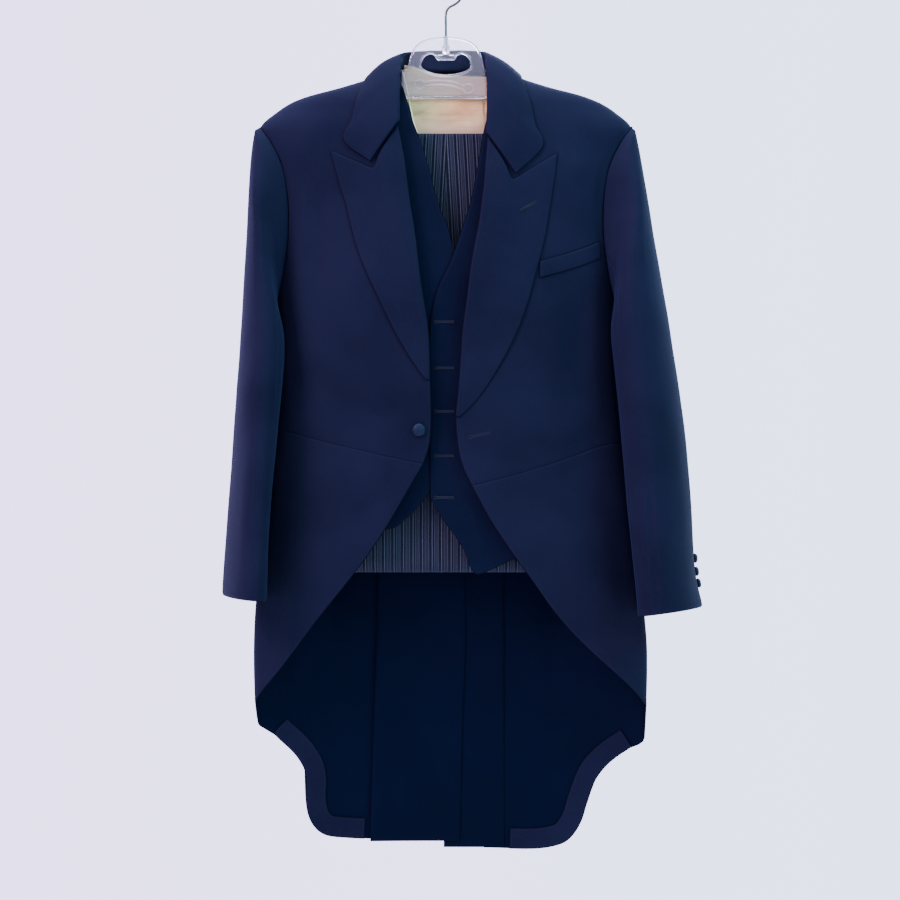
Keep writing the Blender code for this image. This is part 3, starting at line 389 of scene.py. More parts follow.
def level_slopes(slope):
    """Tangents between slopes: their harmonic mean, or flat where they turn."""
    before, after = slope[:-1], slope[1:]
    same = before * after > 0
    return np.where(same, 2 * before * after / np.where(same, before + after, 1), 0)


def cubic(t, start, end, leaving, arriving):
    """Cubic from start to end, with its slope at both."""
    return ((2 * t ** 3 - 3 * t ** 2 + 1) * start + (t ** 3 - 2 * t ** 2 + t) * leaving
            + (3 * t ** 2 - 2 * t ** 3) * end + (t ** 3 - t ** 2) * arriving)


def hermite(x, y, tangent, key):
    i = np.clip(np.searchsorted(x, key) - 1, 0, len(x) - 2)
    gap = x[i + 1] - x[i]
    return cubic((key - x[i]) / gap, y[i], y[i + 1], gap * tangent[i], gap * tangent[i + 1])


def catmull(keys, values):
    """A smooth curve through values at increasing keys."""
    x, y = np.array(keys, float), np.array(values, float)
    low = np.maximum(np.arange(len(x)) - 1, 0)
    high = np.minimum(np.arange(len(x)) + 1, len(x) - 1)
    tangent = (y[high] - y[low]) / (x[high] - x[low])
    return lambda key: hermite(x, y, tangent, key)


def power(value, exponent):
    return np.sign(value) * np.abs(value) ** exponent


def ease(share):
    share = np.clip(share, 0, 1)
    return share * share * (3 - 2 * share)


def unit(vectors):
    return vectors / np.maximum(np.linalg.norm(vectors, axis=-1, keepdims=True), 1e-9)


class Body:
    """Stacked rings: places on it are a turn from the front centre, in degrees, and a height."""

    def __init__(self, rows):
        columns = list(zip(*rows))
        self.curves = [through(columns[0], column) for column in columns[1:]]

    def point(self, turn, height):
        half, centre, front, back = [curve(height) for curve in self.curves]
        across = np.sin(np.radians(turn))
        ahead = np.cos(np.radians(turn))
        depth = np.where(ahead > 0, front, back)
        x = centre + half * power(across, 2 / SQUARENESS)
        y = -depth * power(ahead, 2 / SQUARENESS)
        return np.stack([x, y, x * 0 + height], axis=-1)

    def normal(self, turn, height):
        along = self.point(turn + 0.4, height) - self.point(turn - 0.4, height)
        up = self.point(turn, height + 0.4) - self.point(turn, height - 0.4)
        return unit(np.cross(along, up))

    def front(self, x, height):
        """The place on the front half that shows at x."""
        half, centre = self.curves[0](height), self.curves[1](height)
        share = np.clip((x - centre) / half, -1, 1)
        return (float(np.degrees(np.arcsin(power(share, SQUARENESS / 2)))), height)

    def behind(self, x, height):
        """The place on the back half at x."""
        turn = self.front(x, height)[0]
        side = -1 if x < 0 else 1
        return (side * 180 - turn, height)


def waistcoat_rows():
    """The coat's rings, lowered under its shoulders and drawn in below them."""
    rows = []
    for height, half, centre, front, back in COAT_RINGS:
        inside = 0 if height > -190 else 5
        slack = 4 if height > -150 else 12
        rows.append((height - WAISTCOAT_DROP, half - inside, centre, front - slack, back - min(slack, 9)))
    return rows


COAT = Body(COAT_RINGS)
WAISTCOAT = Body(waistcoat_rows())


def run(points, count):
    """count + 1 places along a smooth curve through the points, evenly spaced."""
    if len(points) == 2:
        (a, b), (c, d) = points
        return [(a + (c - a) * i / count, b + (d - b) * i / count) for i in range(count + 1)]
    reach = [0.0]
    for (a, b), (c, d) in zip(points, points[1:]):
        reach.append(reach[-1] + math.hypot(2.5 * (c - a), d - b))
    across = catmull(reach, [p[0] for p in points])
    height = catmull(reach, [p[1] for p in points])
    return [(float(across(reach[-1] * i / count)), float(height(reach[-1] * i / count)))
            for i in range(count + 1)]


def join(*runs):
    """Runs end to end, with each shared place once."""
    places = list(runs[0])
    for more in runs[1:]:
        places += more[1:]
    return places


def bow(edge, c, k):
    """How far an edge stands off the straight line between its ends."""
    return edge[round(c * (len(edge) - 1))][k] - (1 - c) * edge[0][k] - c * edge[-1][k]


def fill(left, right, top, bottom):
    """Grid of places spanned by four edges, rows from top to bottom; an end's bow fades as it leaves it."""
    rows, columns = len(left) - 1, len(top) - 1
    grid = np.zeros((rows + 1, columns + 1, 2))
    for i in range(rows + 1):
        r = i / rows
        for j in range(columns + 1):
            c = j / columns
            grid[i, j] = [(1 - c) * left[i][k] + c * right[i][k] + (1 - r) ** 2 * bow(top, c, k)
                          + r ** 2 * bow(bottom, c, k) for k in (0, 1)]
    return grid


def marks(count, per):
    """Places along count steps: per of them to a step, and closer ones at both ends."""
    inner = [i / per for i in range(1, count * per) if BORDER[-1] < i / per < count - BORDER[-1]]
    return np.array(list(BORDER) + inner + [count - b for b in reversed(BORDER)])


def resample(values, at):
    """Rows on whole steps, read smoothly at places between them, without overshoot."""
    values = np.asarray(values, float)
    slope = np.diff(values, axis=0)
    if len(slope) > 1:
        tangent = np.concatenate([slope[:1], level_slopes(slope), slope[-1:]])
    else:
        tangent = np.concatenate([slope, slope])
    i = np.clip(at.astype(int), 0, len(values) - 2)
    t = (at - i).reshape(-1, *[1] * (values.ndim - 1))
    return cubic(t, values[i], values[i + 1], tangent[i], tangent[i + 1])


def finer(grid, down=DOWN, across=ACROSS):
    """A grid at the fine cloth's steps, with the share of the way down and across at each place."""
    rows, columns = grid.shape[0] - 1, grid.shape[1] - 1
    at_rows, at_columns = marks(rows, down), marks(columns, across)
    tall = resample(grid, at_rows)
    wide = resample(tall.swapaxes(0, 1), at_columns).swapaxes(0, 1)
    r, c = np.meshgrid(at_rows / rows, at_columns / columns, indexing="ij")
    return wide, r, c


def step_sizes(points):
    """Distance run along each row and each column of a grid of points."""
    across = np.linalg.norm(np.diff(points, axis=1), axis=-1)
    down = np.linalg.norm(np.diff(points, axis=0), axis=-1)
    u = np.concatenate([np.zeros((len(points), 1)), np.cumsum(across, axis=1)], axis=1)
    v = np.concatenate([np.zeros((1, points.shape[1])), np.cumsum(down, axis=0)], axis=0)
    return u, v


def fold_height(points, path, width):
    """How much each point takes part in a fold: 1 on its line, fading to its sides and its ends."""
    reach = [0.0]
    for (a, b), (c, d) in zip(path, path[1:]):
        reach.append(reach[-1] + math.hypot(c - a, d - b))
    steps = np.linspace(0, reach[-1], 17)
    line = np.stack([catmull(reach, [p[k] for p in path])(steps) for k in (0, 1)], axis=-1)
    flat = points[..., (0, 2)]
    best = np.full(flat.shape[:2], 1e9)
    along = np.zeros(flat.shape[:2])
    for i, place in enumerate(line):
        away = np.linalg.norm(flat - place, axis=-1)
        along = np.where(away < best, i / 16, along)
        best = np.minimum(best, away)
    sides = np.exp(-(best / width) ** 2)
    ends = 0.25 + 0.75 * np.sin(np.pi * np.clip(along, 0, 1)) ** 0.7
    return sides * ends


def unevenness(points):
    """Low waves that keep wide cloth from lying dead flat."""
    x, z = points[..., 0], points[..., 2]
    return sum(height * np.sin(x / wide + z / tall + start) for height, wide, tall, start in WAVES)


def relief(name, points, normals):
    """Height of the folds pressed into a piece."""
    total = unevenness(points)
    for table, facing in ((FRONT_FOLDS, -1), (BACK_FOLDS, 1)):
        turned = np.clip(facing * normals[..., 1] * 2, 0, 1)
        for path, width, height in table.get(name, []):
            total = total + FOLD_STRENGTH * height * turned * fold_height(points, path, width)
    for x, z in CAUGHT.get(name, []):
        away = np.hypot(points[..., 0] - x, points[..., 2] - z)
        for height, reach in DIMPLE:
            total = total + height * np.exp(-(away / reach) ** 2)
    return total


def mesh_object(name, vertices, faces, finishes, face_finish=None, smooth=60):
    """A smooth-shaded object from points in millimetres; it rides on the root body."""
    mesh = bpy.data.meshes.new(name)
    mesh.from_pydata((np.asarray(vertices) * MM).tolist(), [], np.asarray(faces).tolist()
                     if isinstance(faces, np.ndarray) else faces)
    for finish in finishes:
        mesh.materials.append(finish)
    if face_finish is not None:
        mesh.polygons.foreach_set("material_index", face_finish)
    mesh.shade_smooth()
    mesh.set_sharp_from_angle(angle=math.radians(smooth))
    item = bpy.data.objects.new(name, mesh)
    bpy.context.collection.objects.link(item)
    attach(item, "root")
    return item


def ring_faces(count, sides, closed=False, capped=False):
    """Faces between rings of points, each with the same number of sides."""
    faces = []
    for i in range(count if closed else count - 1):
        near, far = i * sides, (i + 1) % count * sides
        for k in range(sides):
            after = (k + 1) % sides
            faces.append((near + k, near + after, far + after, far + k))
    if capped:
        faces += [tuple(range(sides))[::-1], tuple(range((count - 1) * sides, count * sides))]
    return faces


def sheet_faces(rows, columns, flip):
    """Faces of a closed sheet: outside, inside, then the edge round it."""
    i, j = np.meshgrid(np.arange(rows - 1), np.arange(columns - 1), indexing="ij")
    a = (i * columns + j).ravel()
    b = a + columns
    count = rows * columns
    outside = np.stack([a, b, b + 1, a + 1], axis=-1)
    inside = np.stack([a, a + 1, b + 1, b], axis=-1) + count
    loop = np.concatenate([np.arange(rows - 1) * columns, (rows - 1) * columns + np.arange(columns - 1),
                           np.arange(rows - 1, 0, -1) * columns + columns - 1, np.arange(columns - 1, 0, -1)])
    after = np.roll(loop, -1)
    edge = np.stack([after, loop, loop + count, after + count], axis=-1)
    faces = np.concatenate([outside, inside, edge])
    if flip:
        faces = faces[:, ::-1]
    kinds = np.concatenate([np.zeros(len(outside), int), np.ones(len(inside), int), np.zeros(len(edge), int)])
    return faces, kinds


def sheet(node, points, wall, finish, inner_finish, slot, outward, top=0.0, rolled=None, flat_uv=None,
          held="hung", rests_on=("hanger_body",), folds=True, tuck=None):
    """One sewn piece of cloth: a thin closed shell over a grid of points, with pressed folds and soft edges.

    outward points away from the wearer, top is how far the outside stands off the points, and rolled
    is the depth by which the first column turns over, as at a lapel's fold. tuck is how far the inner
    side of the first row goes on past the seam."""
    across = np.gradient(points, axis=1)
    down = np.gradient(points, axis=0)
    normals = unit(np.cross(down, across))
    flip = float(np.sum(normals * outward)) < 0
    if flip:
        normals = -normals
    u, v = step_sizes(points)
    edge = np.minimum(np.minimum(u, u[:, -1:] - u), np.minimum(v, v[-1:] - v))
    height = top + (relief(node, points, normals) * ease(edge / FOLD_FADE) if folds else 0)
    if rolled:
        turn = np.clip(1 - u / (rolled * ROLL_REACH), 0, 1)
        height = height - rolled * (1 - np.sqrt(1 - turn ** 2))
    taper = EDGE_TAPER * wall * (1 - ease(edge / ROUNDING))
    outside = points + normals * (height - taper)[..., None]
    inside = points + normals * (height - wall + taper)[..., None]
    widen(outside, -SEAM_STEP)
    widen(inside, UNDERLAP)
    if tuck is not None:
        inside[0] += unit(inside[0] - inside[2]) * tuck[:, None]
    rows, columns = points.shape[:2]
    faces, kinds = sheet_faces(rows, columns, flip)
    item = mesh_object(f"{node}_cloth", np.concatenate([outside.reshape(-1, 3), inside.reshape(-1, 3)]),
                       faces, [finish, inner_finish], kinds)
    flat = np.stack([np.tile(axis.ravel(), 2) for axis in flat_uv or (u, v)], axis=-1) * MM
    corner = np.empty(len(item.data.loops), int)
    item.data.loops.foreach_get("vertex_index", corner)
    item.data.uv_layers.new(name="UVMap").data.foreach_set("uv", flat[corner].ravel())
    border = item.data.attributes.new("edge", "FLOAT", "POINT")
    border.data.foreach_set("value", np.tile(edge.ravel(), 2))
    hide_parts(node)
    return item


def widen(points, step):
    """Move a grid's outermost points out by a step: the inner side of each seam laps a little."""
    top, bottom = unit(points[0] - points[2]), unit(points[-1] - points[-3])
    left, right = unit(points[:, 0] - points[:, 2]), unit(points[:, -1] - points[:, -3])
    points[0] += top * step
    points[-1] += bottom * step
    points[:, 0] += left * step
    points[:, -1] += right * step


def body_sheet(node, body, grid, wall, finish, inner_finish, slot, top=0.0, **more):
    """A piece over a grid of places on the coat's or the waistcoat's body."""
    wide, r, c = finer(np.asarray(grid, float), more.pop("down", DOWN), more.pop("across", ACROSS))
    points = body.point(wide[..., 0], wide[..., 1])
    outward = points * np.array([1.0, 1.0, 0.0])
    height = top(r, c) if callable(top) else top
    return sheet(node, points, wall, finish, inner_finish, slot, outward, top=height, **more)


def side_name(side):
    return "right" if side < 0 else "left"


def turned(side, places):
    """Places given for the left side, for either side."""
    return [(side * turn, height) for turn, height in places]


def front_places(body, points):
    return [body.front(x, z) for x, z in points]


def shoulder_seam(side):
    return run([(side * 90, NECK_TOP), (side * 90, SHOULDER_END)], 6)


def armhole_front(side):
    return turned(side, run(ARMHOLE_FRONT, 8))


def armhole_under(side):
    return turned(side, run(ARMHOLE_UNDER, 5))


def armhole_back(side):
    return turned(side, run(ARMHOLE_BACK, 7))


def waist_front(side):
    start = COAT.front(*FRONT_EDGE[side][-1])
    seam = [COAT.front(*mark) for mark in WAIST_FRONT[side]]
    return run([start] + seam + [(side * 76, WAIST_FRONT[side][-1][1] + 4)], 7)


def waist_side(side):
    start = waist_front(side)[-1]
    end = COAT.behind(STRIPS[side][0][1], WAIST_BACK)
    return run([start, (side * 105, WAIST_BACK - 1), end], 5)


def side_seam(side):
    return run([turned(side, ARMHOLE_UNDER)[0], waist_front(side)[-1]], 5)


def back_seam(side):
    return run([turned(side, ARMHOLE_UNDER)[-1], (side * 132, -430), waist_side(side)[-1]], 5)


def coat_panel(part, side, grid, wall=COAT_WALL, inner_finish=None, **more):
    """A panel of the coat, lined unless another inner finish is given."""
    body_sheet(f"coat_{part}_{side_name(side)}", COAT, grid, wall, COAT_CLOTH, inner_finish or COAT_LINING,
               "coat_cloth", **more)


def forepart(side):
    """Front panel: neck, shoulder, armhole, side seam, waist seam and front edge."""
    neck_x = ROLL[side][0][0] + NECK_SETBACK * side
    neck = [COAT.front(neck_x, -116), COAT.front(neck_x, -160), COAT.front(neck_x, ROLL[side][0][1] + 3)]
    left = join(run(neck, 6), run([neck[-1]] + front_places(COAT, ROLL[side][1:]), 9),
                run(front_places(COAT, FRONT_EDGE[side]), 4))
    right = join(shoulder_seam(side), armhole_front(side), side_seam(side))
    grid = fill(left, right, run([left[0], right[0]], 7), waist_front(side))
    coat_panel("forepart", side, grid)


def sidebody(side):
    """Panel under the arm, between the side seam and the curved back seam."""
    grid = fill(side_seam(side), back_seam(side), armhole_under(side), waist_side(side))
    coat_panel("sidebody", side, grid)


def back(side):
    """Back panel from the neck to the hem; below the waist it hangs inside the skirts."""
    centre = side * 180
    outer = join(shoulder_seam(side), armhole_back(side)[::-1], back_seam(side))
    yoke = (centre, -200)
    inner = join(run([(centre, NECK_TOP), yoke], 6), run([yoke, (centre, WAIST_BACK)], len(outer) - 7))
    upper = fill(inner, outer, run([inner[0], outer[0]], 4), run([inner[-1], outer[-1]], 4))
    heights, pleats, vents = zip(*STRIPS[side])
    pleat, vent = through(heights, pleats), through(heights, vents)
    count = 9
    lower = []
    for i in range(1, count + 1):
        z = heights[0] + (heights[-1] - heights[0]) * (i / count) ** 1.3
        edge, split = COAT.behind(float(pleat(z)), z), COAT.behind(abs(float(vent(z))) * side, z)
        crossing = vent(z) * side < 0
        split_turn = 2 * centre - split[0] if crossing else split[0]
        lower.append([(split_turn + (edge[0] - split_turn) * j / 4, z) for j in range(5)])
    grid = np.concatenate([upper, np.array(lower)])
    bend = (len(upper) - 1) / (len(grid) - 1)
    coat_panel("back", side, grid, across=10,
               top=lambda r, c: -BACK_SINK[side] * ease((r - bend + STRIP_BEND) / STRIP_BEND))


def skirt(side):
    """Skirt from the waist seam to the tail hem, lapped over the back strip."""
    lap_x = STRIPS[side][0][1] - side * PLEAT_LAP
    lap = COAT.behind(lap_x, WAIST_BACK)
    top = join(waist_front(side), waist_side(side), run([waist_side(side)[-1], lap], 1))
    corner = (side * 90, TAIL_HEM[side][0][1])
    hem = [COAT.behind(x, z) for x, z in TAIL_HEM[side][1:]]
    left = join(run(front_places(COAT, CUTAWAY[side][:-1]) + [corner], 9), run([corner] + hem[:-2], 8))
    right = run([top[-1], hem[-1]], 17)
    grid = fill([top[0]] + left[1:], right, top, run(hem[-3:], len(top) - 1))
    coat_panel("skirt", side, grid, down=7, across=5)


def tail_facing(side):
    """Turned hem band inside the tail."""
    hem = run([COAT.behind(x, z) for x, z in TAIL_HEM[side][2:]], 24)
    line = []
    for i, (turn, height) in enumerate(hem):
        low, high = hem[max(i - 1, 0)], hem[min(i + 1, len(hem) - 1)]
        along = COAT.point(*high) - COAT.point(*low)
        inwards = unit(np.cross(COAT.normal(turn, height), along)) * side
        place = COAT.point(turn, height) + inwards * HEM_BAND
        line.append(COAT.behind(place[0], place[2]))
    start = STRIPS[side][-1][1] + side * 3
    grid = [[(a[0] + (b[0] - a[0]) * j / 2, a[1] + (b[1] - a[1]) * j / 2) for j in range(3)]
            for a, b in zip(hem, line) if abs(COAT.point(*a)[0]) > abs(start)]
    coat_panel("tail_facing", side, grid, HEM_SHELL, COAT_CLOTH, top=-COAT_WALL - HEM_GAP, across=8,
               folds=False)


def lapel(side):
    """Peaked lapel turned back over the forepart."""
    left = run(front_places(COAT, ROLL[side]), 13)
    right = run(front_places(COAT, LAPEL_EDGE[side]), 13)
    gorge = front_places(COAT, GORGE[side])
    top = join(run(gorge[:2], 3), run(gorge[1:], 3))
    grid = fill(left, right, top, run([left[-1], right[-1]], 6))

    def stand(r, c):
        belly = LAPEL_BELLY * (1 - r) * np.sin(np.pi * np.minimum(c * 1.6, 1)) ** 1.5 * (c < 0.62)
        return LAPEL_GAP + belly + LAPEL_SHELL

    coat_panel("lapel", side, grid, LAPEL_SHELL, COAT_CLOTH, top=stand, rolled=LAPEL_WALL, down=7, across=8)


def collar_controls(side):
    """Five points across the collar at each station, from the outer edge to the foot of the stand."""
    stations = []
    for row, shift in zip(COLLAR, COLLAR_LEFT_SHIFT):
        edge_x, edge_z, fold_x, fold_y, fold_z, foot_x, foot_y, foot_z, bulge = row
        across, down = shift if side > 0 else (0, 0)
        if edge_x is None:
            place = (side * 90, edge_z)
        elif fold_y > 0:
            place = COAT.behind(side * edge_x, edge_z) if edge_x else (180, edge_z)
        else:
            place = COAT.front(side * (edge_x + across), edge_z + down)
        normal = COAT.normal(*place)
        edge = COAT.point(*place) + normal * COLLAR_LIFT
        fold = np.array([side * (fold_x + across), fold_y, fold_z + down])
        foot = np.array([side * (foot_x + across), foot_y, foot_z + down])
        stations.append([edge, (edge + fold) / 2 + normal * bulge, fold, fold * 0.72 + foot * 0.28, foot])
    return np.array(stations)


def collar():
    """Collar folded over its stand."""
    right, left = collar_controls(-1), collar_controls(1)
    stations = np.concatenate([right[::-1], left[1:]])
    last = len(right) - 1
    keys = np.arange(len(stations)) - last
    columns = marks(24, 5) * last / 12 - last
    rows = resample(np.array([0, 0.15, 0.32, 0.46, 0.56, 0.63, 0.69, 0.75, 0.86, 1]), marks(9, 5))
    tracks = np.array([[catmull(keys, stations[:, k, axis])(columns) for axis in range(3)] for k in range(5)])
    points = np.zeros((len(rows), len(columns), 3))
    for j in range(len(columns)):
        line = tracks[:, :, j]
        reach = np.concatenate([[0], np.cumsum(np.linalg.norm(np.diff(line, axis=0), axis=1))])
        curves = [catmull(reach, line[:, axis]) for axis in range(3)]
        points[:, j] = np.stack([curve(rows * reach[-1]) for curve in curves], axis=-1)
    outward = np.zeros_like(points)
    outward[:len(rows) // 3] = points[:len(rows) // 3] * np.array([1.0, 1.0, 0.0])
    sheet("coat_collar", points, COAT_WALL, COAT_CLOTH, COAT_CLOTH, "coat_cloth", outward, top=COAT_WALL)


def body_reach(side, y, height):
    """How far the coat's body stands out sideways at a depth and a height."""
    half, centre, front, behind = [curve(height) for curve in COAT.curves]
    share = np.minimum(np.abs(y) / np.where(y < 0, front, behind), 1)
    return side * centre + half * (1 - share ** SQUARENESS) ** (1 / SQUARENESS)


class Sleeve:
    """A sleeve: an angle round it in degrees, 0 outside and 90 at the front, and 0 to 1 down."""

    def __init__(self, side):
        self.side = side
        rows = SLEEVES[side]
        self.columns = [catmull(list(range(len(rows))), column) for column in zip(*rows)]
        self.last = len(rows) - 1
        loop = join(armhole_front(side), armhole_under(side), armhole_back(side))
        hole = np.array([COAT.point(*place) for place in loop])
        low = int(np.argmin(hole[:, 2]))
        reach = np.concatenate([[0], np.cumsum(np.linalg.norm(np.diff(hole, axis=0), axis=1))])
        turns = np.where(np.arange(len(hole)) <= low, 180 * reach / reach[low],
                         180 + 180 * (reach - reach[low]) / (reach[-1] - reach[low]))
        self.hole = [catmull(turns, hole[:, axis]) for axis in range(3)]

    def ring(self, angle, k):
        side = self.side
        out_x, out_z, in_x, in_z, depth, middle, toe = [column(k) for column in self.columns]
        half_x, half_z = (out_x - in_x) / 2, (out_z - in_z) / 2
        lean, turn = np.radians(toe), np.radians(angle)
        width = np.abs(half_x)
        narrow = np.sqrt(np.maximum(width ** 2 - (depth * np.sin(lean)) ** 2, 100)) / np.cos(lean)
        share = narrow * np.cos(lean) / width
        outside, ahead = power(np.cos(turn), 0.9), power(np.sin(turn), 0.9)
        x = (out_x + in_x) / 2 + half_x * share * outside - side * depth * np.sin(lean) * ahead
        y = middle - narrow * np.sin(lean) * np.cos(turn) - depth * np.cos(lean) * ahead
        z = (out_z + in_z) / 2 + half_z * share * outside
        wall = body_reach(side, y, z) + SLEEVE_CLEAR
        reach = side * x
        x = side * (reach + wall + np.hypot(reach - wall, SLEEVE_BLEND)) / 2
        return np.stack([x, y, z], axis=-1)

    def point(self, angle, s):
        angle = angle % 360
        k = np.maximum((s - SLEEVE_HEAD) / (1 - SLEEVE_HEAD), 0) * self.last
        start = np.stack([axis(angle) for axis in self.hole], axis=-1)
        share = np.minimum(s / HEAD_BLEND, 1)
        share = (share * (2 - share))[..., None]
        return start * (1 - share) + self.ring(angle, k) * share

    def normal(self, angle, s):
        along = self.point(angle + 1, s) - self.point(angle - 1, s)
        up = self.point(angle, s + 0.004) - self.point(angle, s - 0.004)
        normal = unit(np.cross(along, up))
        centre = (self.point(angle, s) + self.point(angle + 180, s)) / 2
        return normal * np.sign(np.sum(normal * (self.point(angle, s) - centre)))


def sleeve(side):
    """Top sleeve and under sleeve, two seams along its length."""
    surface = Sleeve(side)
    hind, fore = SLEEVE_SEAMS[0] + 360, SLEEVE_SEAMS[1]
    down = np.array([0, 0.03, 0.07, 0.12, 0.18, 0.25, 0.33, 0.42, 0.52, 0.62, 0.72, 0.82, 0.91, 1])
    s = resample(down, marks(13, 6))
    for part, start, end, count in (("top", hind - 360, fore, 10), ("under", fore, hind, 8)):
        angles = marks(count, 7) / count * (end - start) + start
        angle, along = np.meshgrid(angles, s)
        tuck = UNDERARM_TUCK * np.clip(-np.cos(np.radians(angles)), 0, 1) ** 2
        points = surface.point(angle, along)
        middle = surface.point(angle + 180, along)
        sheet(f"coat_{part}sleeve_{side_name(side)}", points, COAT_WALL, COAT_CLOTH, COAT_LINING,
              "coat_cloth", points - middle, tuck=tuck)
    return surface


def welt():
    """Slanting breast welt on the left chest."""
    corners = front_places(COAT, WELT)
    grid = fill(run([corners[0], corners[3]], 2), run([corners[1], corners[2]], 2),
                run(corners[:2], 5), run([corners[3], corners[2]], 5))
    body_sheet("coat_breast_welt", COAT, grid, WELT_SHELL, COAT_CLOTH, COAT_CLOTH, "coat_cloth",
               top=WELT_STAND, folds=False)


def frame_of(normal):
    """Two directions across a normal: sideways and up."""
    across = unit(np.cross(normal, np.array([0.0, 0.0, 1.0])))
    return across, np.cross(across, normal)


def button(node, place, normal, diameter, height):
    """Covered button: a low dome of cloth drawn over its rim and gathered behind."""
    sides = 60
    across, up = frame_of(normal)
    vertices = []
    for level, (reach, rise) in enumerate(BUTTON_DOME):
        for i in range(sides):
            turn = math.tau * i / sides
            gather = 1 + 0.012 * math.cos(turn * 15) * max(1 - level / 4, 0)
            ring = across * math.cos(turn) + up * math.sin(turn)
            vertices.append(place + ring * reach * gather * diameter + normal * (rise - 0.35) * height)
    vertices.append(place + normal * 0.65 * height)
    faces = ring_faces(len(BUTTON_DOME), sides) + [tuple(range(sides))[::-1]]
    top = (len(BUTTON_DOME) - 1) * sides
    for i in range(sides):
        faces.append((top + i, top + (i + 1) % sides, len(vertices) - 1))
    item = mesh_object(f"{node}_cover", vertices, faces, [BUTTON_CLOTH], smooth=50)
    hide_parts(node)


def body_button(name, place, stand):
    """A large button at a place on the coat's body."""
    normal = COAT.normal(*place)
    button(f"coat_{name}", COAT.point(*place) + normal * stand, normal, BUTTON, BUTTON_DEEP)


def coat_buttons(sleeves):
    """The front button, two behind the waist and three on each cuff."""
    body_button("front_button", COAT.front(*FRONT_BUTTON), FRONT_STAND)
    for side in (-1, 1):
        place = COAT.behind(side * BACK_BUTTON[0], BACK_BUTTON[1])
        body_button(f"back_button_{side_name(side)}", place, BUTTON_STAND)
        angle, places = CUFF_BUTTONS[side]
        for i, s in enumerate(places):
            at = (np.array(float(angle)), np.array(s))
            normal = sleeves[side].normal(*at)
            place = sleeves[side].point(*at) + normal * BUTTON_STAND
            button(f"coat_cuff_button_{side_name(side)}_{i + 1}", place, normal, CUFF_BUTTON,
                   CUFF_BUTTON_DEEP)


def buttonhole(name, eye, end, normal, wide):
    """A worked buttonhole: a ridge of close stitches round a slit, with an eyelet at one end."""
    eye, end = np.asarray(eye, float), np.asarray(end, float)
    along = unit(end - eye)
    across = unit(np.cross(normal, along))
    length = np.linalg.norm(end - eye)
    path = []
    for i in range(14):
        turn = math.pi * (0.28 + 1.44 * i / 13)
        path.append((wide * 1.25 * math.cos(turn), wide * 1.25 * math.sin(turn)))
    path += [(wide + (length - wide) * (i + 0.5) / 20, -wide * 0.62) for i in range(20)]
    path += [(length, -wide * 0.75), (length + 0.5, 0.0), (length, wide * 0.75)]
    path += [(wide + (length - wide) * (19.5 - i) / 20, wide * 0.62) for i in range(20)]
    line = np.array([eye + along * a + across * b for a, b in path])
    fine = resample(np.concatenate([line, line[:1]]), np.arange(0, len(line), 0.25))
    count, sides = len(fine), 8
    vertices = []
    for i, point in enumerate(fine):
        forward = unit(fine[(i + 1) % count] - fine[i - 1])
        outward = unit(np.cross(forward, normal))
        stitch = 0.56 * (1 + 0.22 * math.cos(i * math.pi * 0.9))
        for k in range(sides):
            turn = math.tau * k / sides
            vertices.append(point + outward * 0.62 * math.cos(turn) + normal * stitch * math.sin(turn))
    item = mesh_object(name, vertices, ring_faces(count, sides, closed=True), [THREAD])


def coat_holes():
    """Buttonholes of the coat, its lapel and the waistcoat's front."""
    for name, hole, lifts, wide in HOLES:
        eye, end = front_places(COAT, hole)
        normal = COAT.normal(*eye)
        buttonhole(f"{name}_buttonhole", COAT.point(*eye) + normal * lifts[0],
                   COAT.point(*end) + COAT.normal(*end) * lifts[1], normal, wide)
    low, high = WAISTCOAT_HOLE_ENDS
    for i, z in enumerate(WAISTCOAT_HOLES):
        eye, end = WAISTCOAT.front(low, z), WAISTCOAT.front(high, z)
        normal = WAISTCOAT.normal(*eye)
        buttonhole(f"waistcoat_buttonhole_{i + 1}", WAISTCOAT.point(*eye) + normal * WAISTCOAT_HOLE_LIFT,
                   WAISTCOAT.point(*end) + normal * WAISTCOAT_HOLE_LIFT, normal, WAISTCOAT_EYELET)


def waistcoat_armhole(side):
    """Front of the waistcoat's armhole, from the shoulder to the side."""
    edge = [(side * 90, WAISTCOAT_SHOULDER[1])] + [WAISTCOAT.front(side * x, z) for x, z in WAISTCOAT_ARMHOLE]
    return run(edge + [(side * 90, WAISTCOAT_SIDE)], 9)


def waistcoat_shoulder(side):
    return run([(side * 90, z) for z in WAISTCOAT_SHOULDER], 4)


def waistcoat_side(side):
    return run([(side * 90, WAISTCOAT_SIDE), (side * 90, WAISTCOAT_HEM[side][-1][1])], 5)


def waistcoat_front(side):
    """Front of the waistcoat; the left one laps over the right one."""
    right = join(waistcoat_shoulder(side), waistcoat_armhole(side), waistcoat_side(side))
    neck = front_places(WAISTCOAT, WAISTCOAT_NECK[side])
    left = join(run(neck[:3], 6), run(neck[2:], len(right) - 7))
    hem = front_places(WAISTCOAT, WAISTCOAT_HEM[side][:-1]) + [right[-1]]
    hem = join(run(hem[:3], 3), run(hem[2:], 5))
    grid = fill(left, right, run([left[0], right[0]], 8), hem)
    sink = WAISTCOAT_LAP if side < 0 else 0
    body_sheet(f"waistcoat_front_{side_name(side)}", WAISTCOAT, grid, WAISTCOAT_WALL, WAISTCOAT_CLOTH,
               COAT_LINING, "waistcoat_cloth",
               top=lambda r, c: -sink * np.maximum(1 - c / 0.8, 0) * np.minimum(r / 0.15, 1))


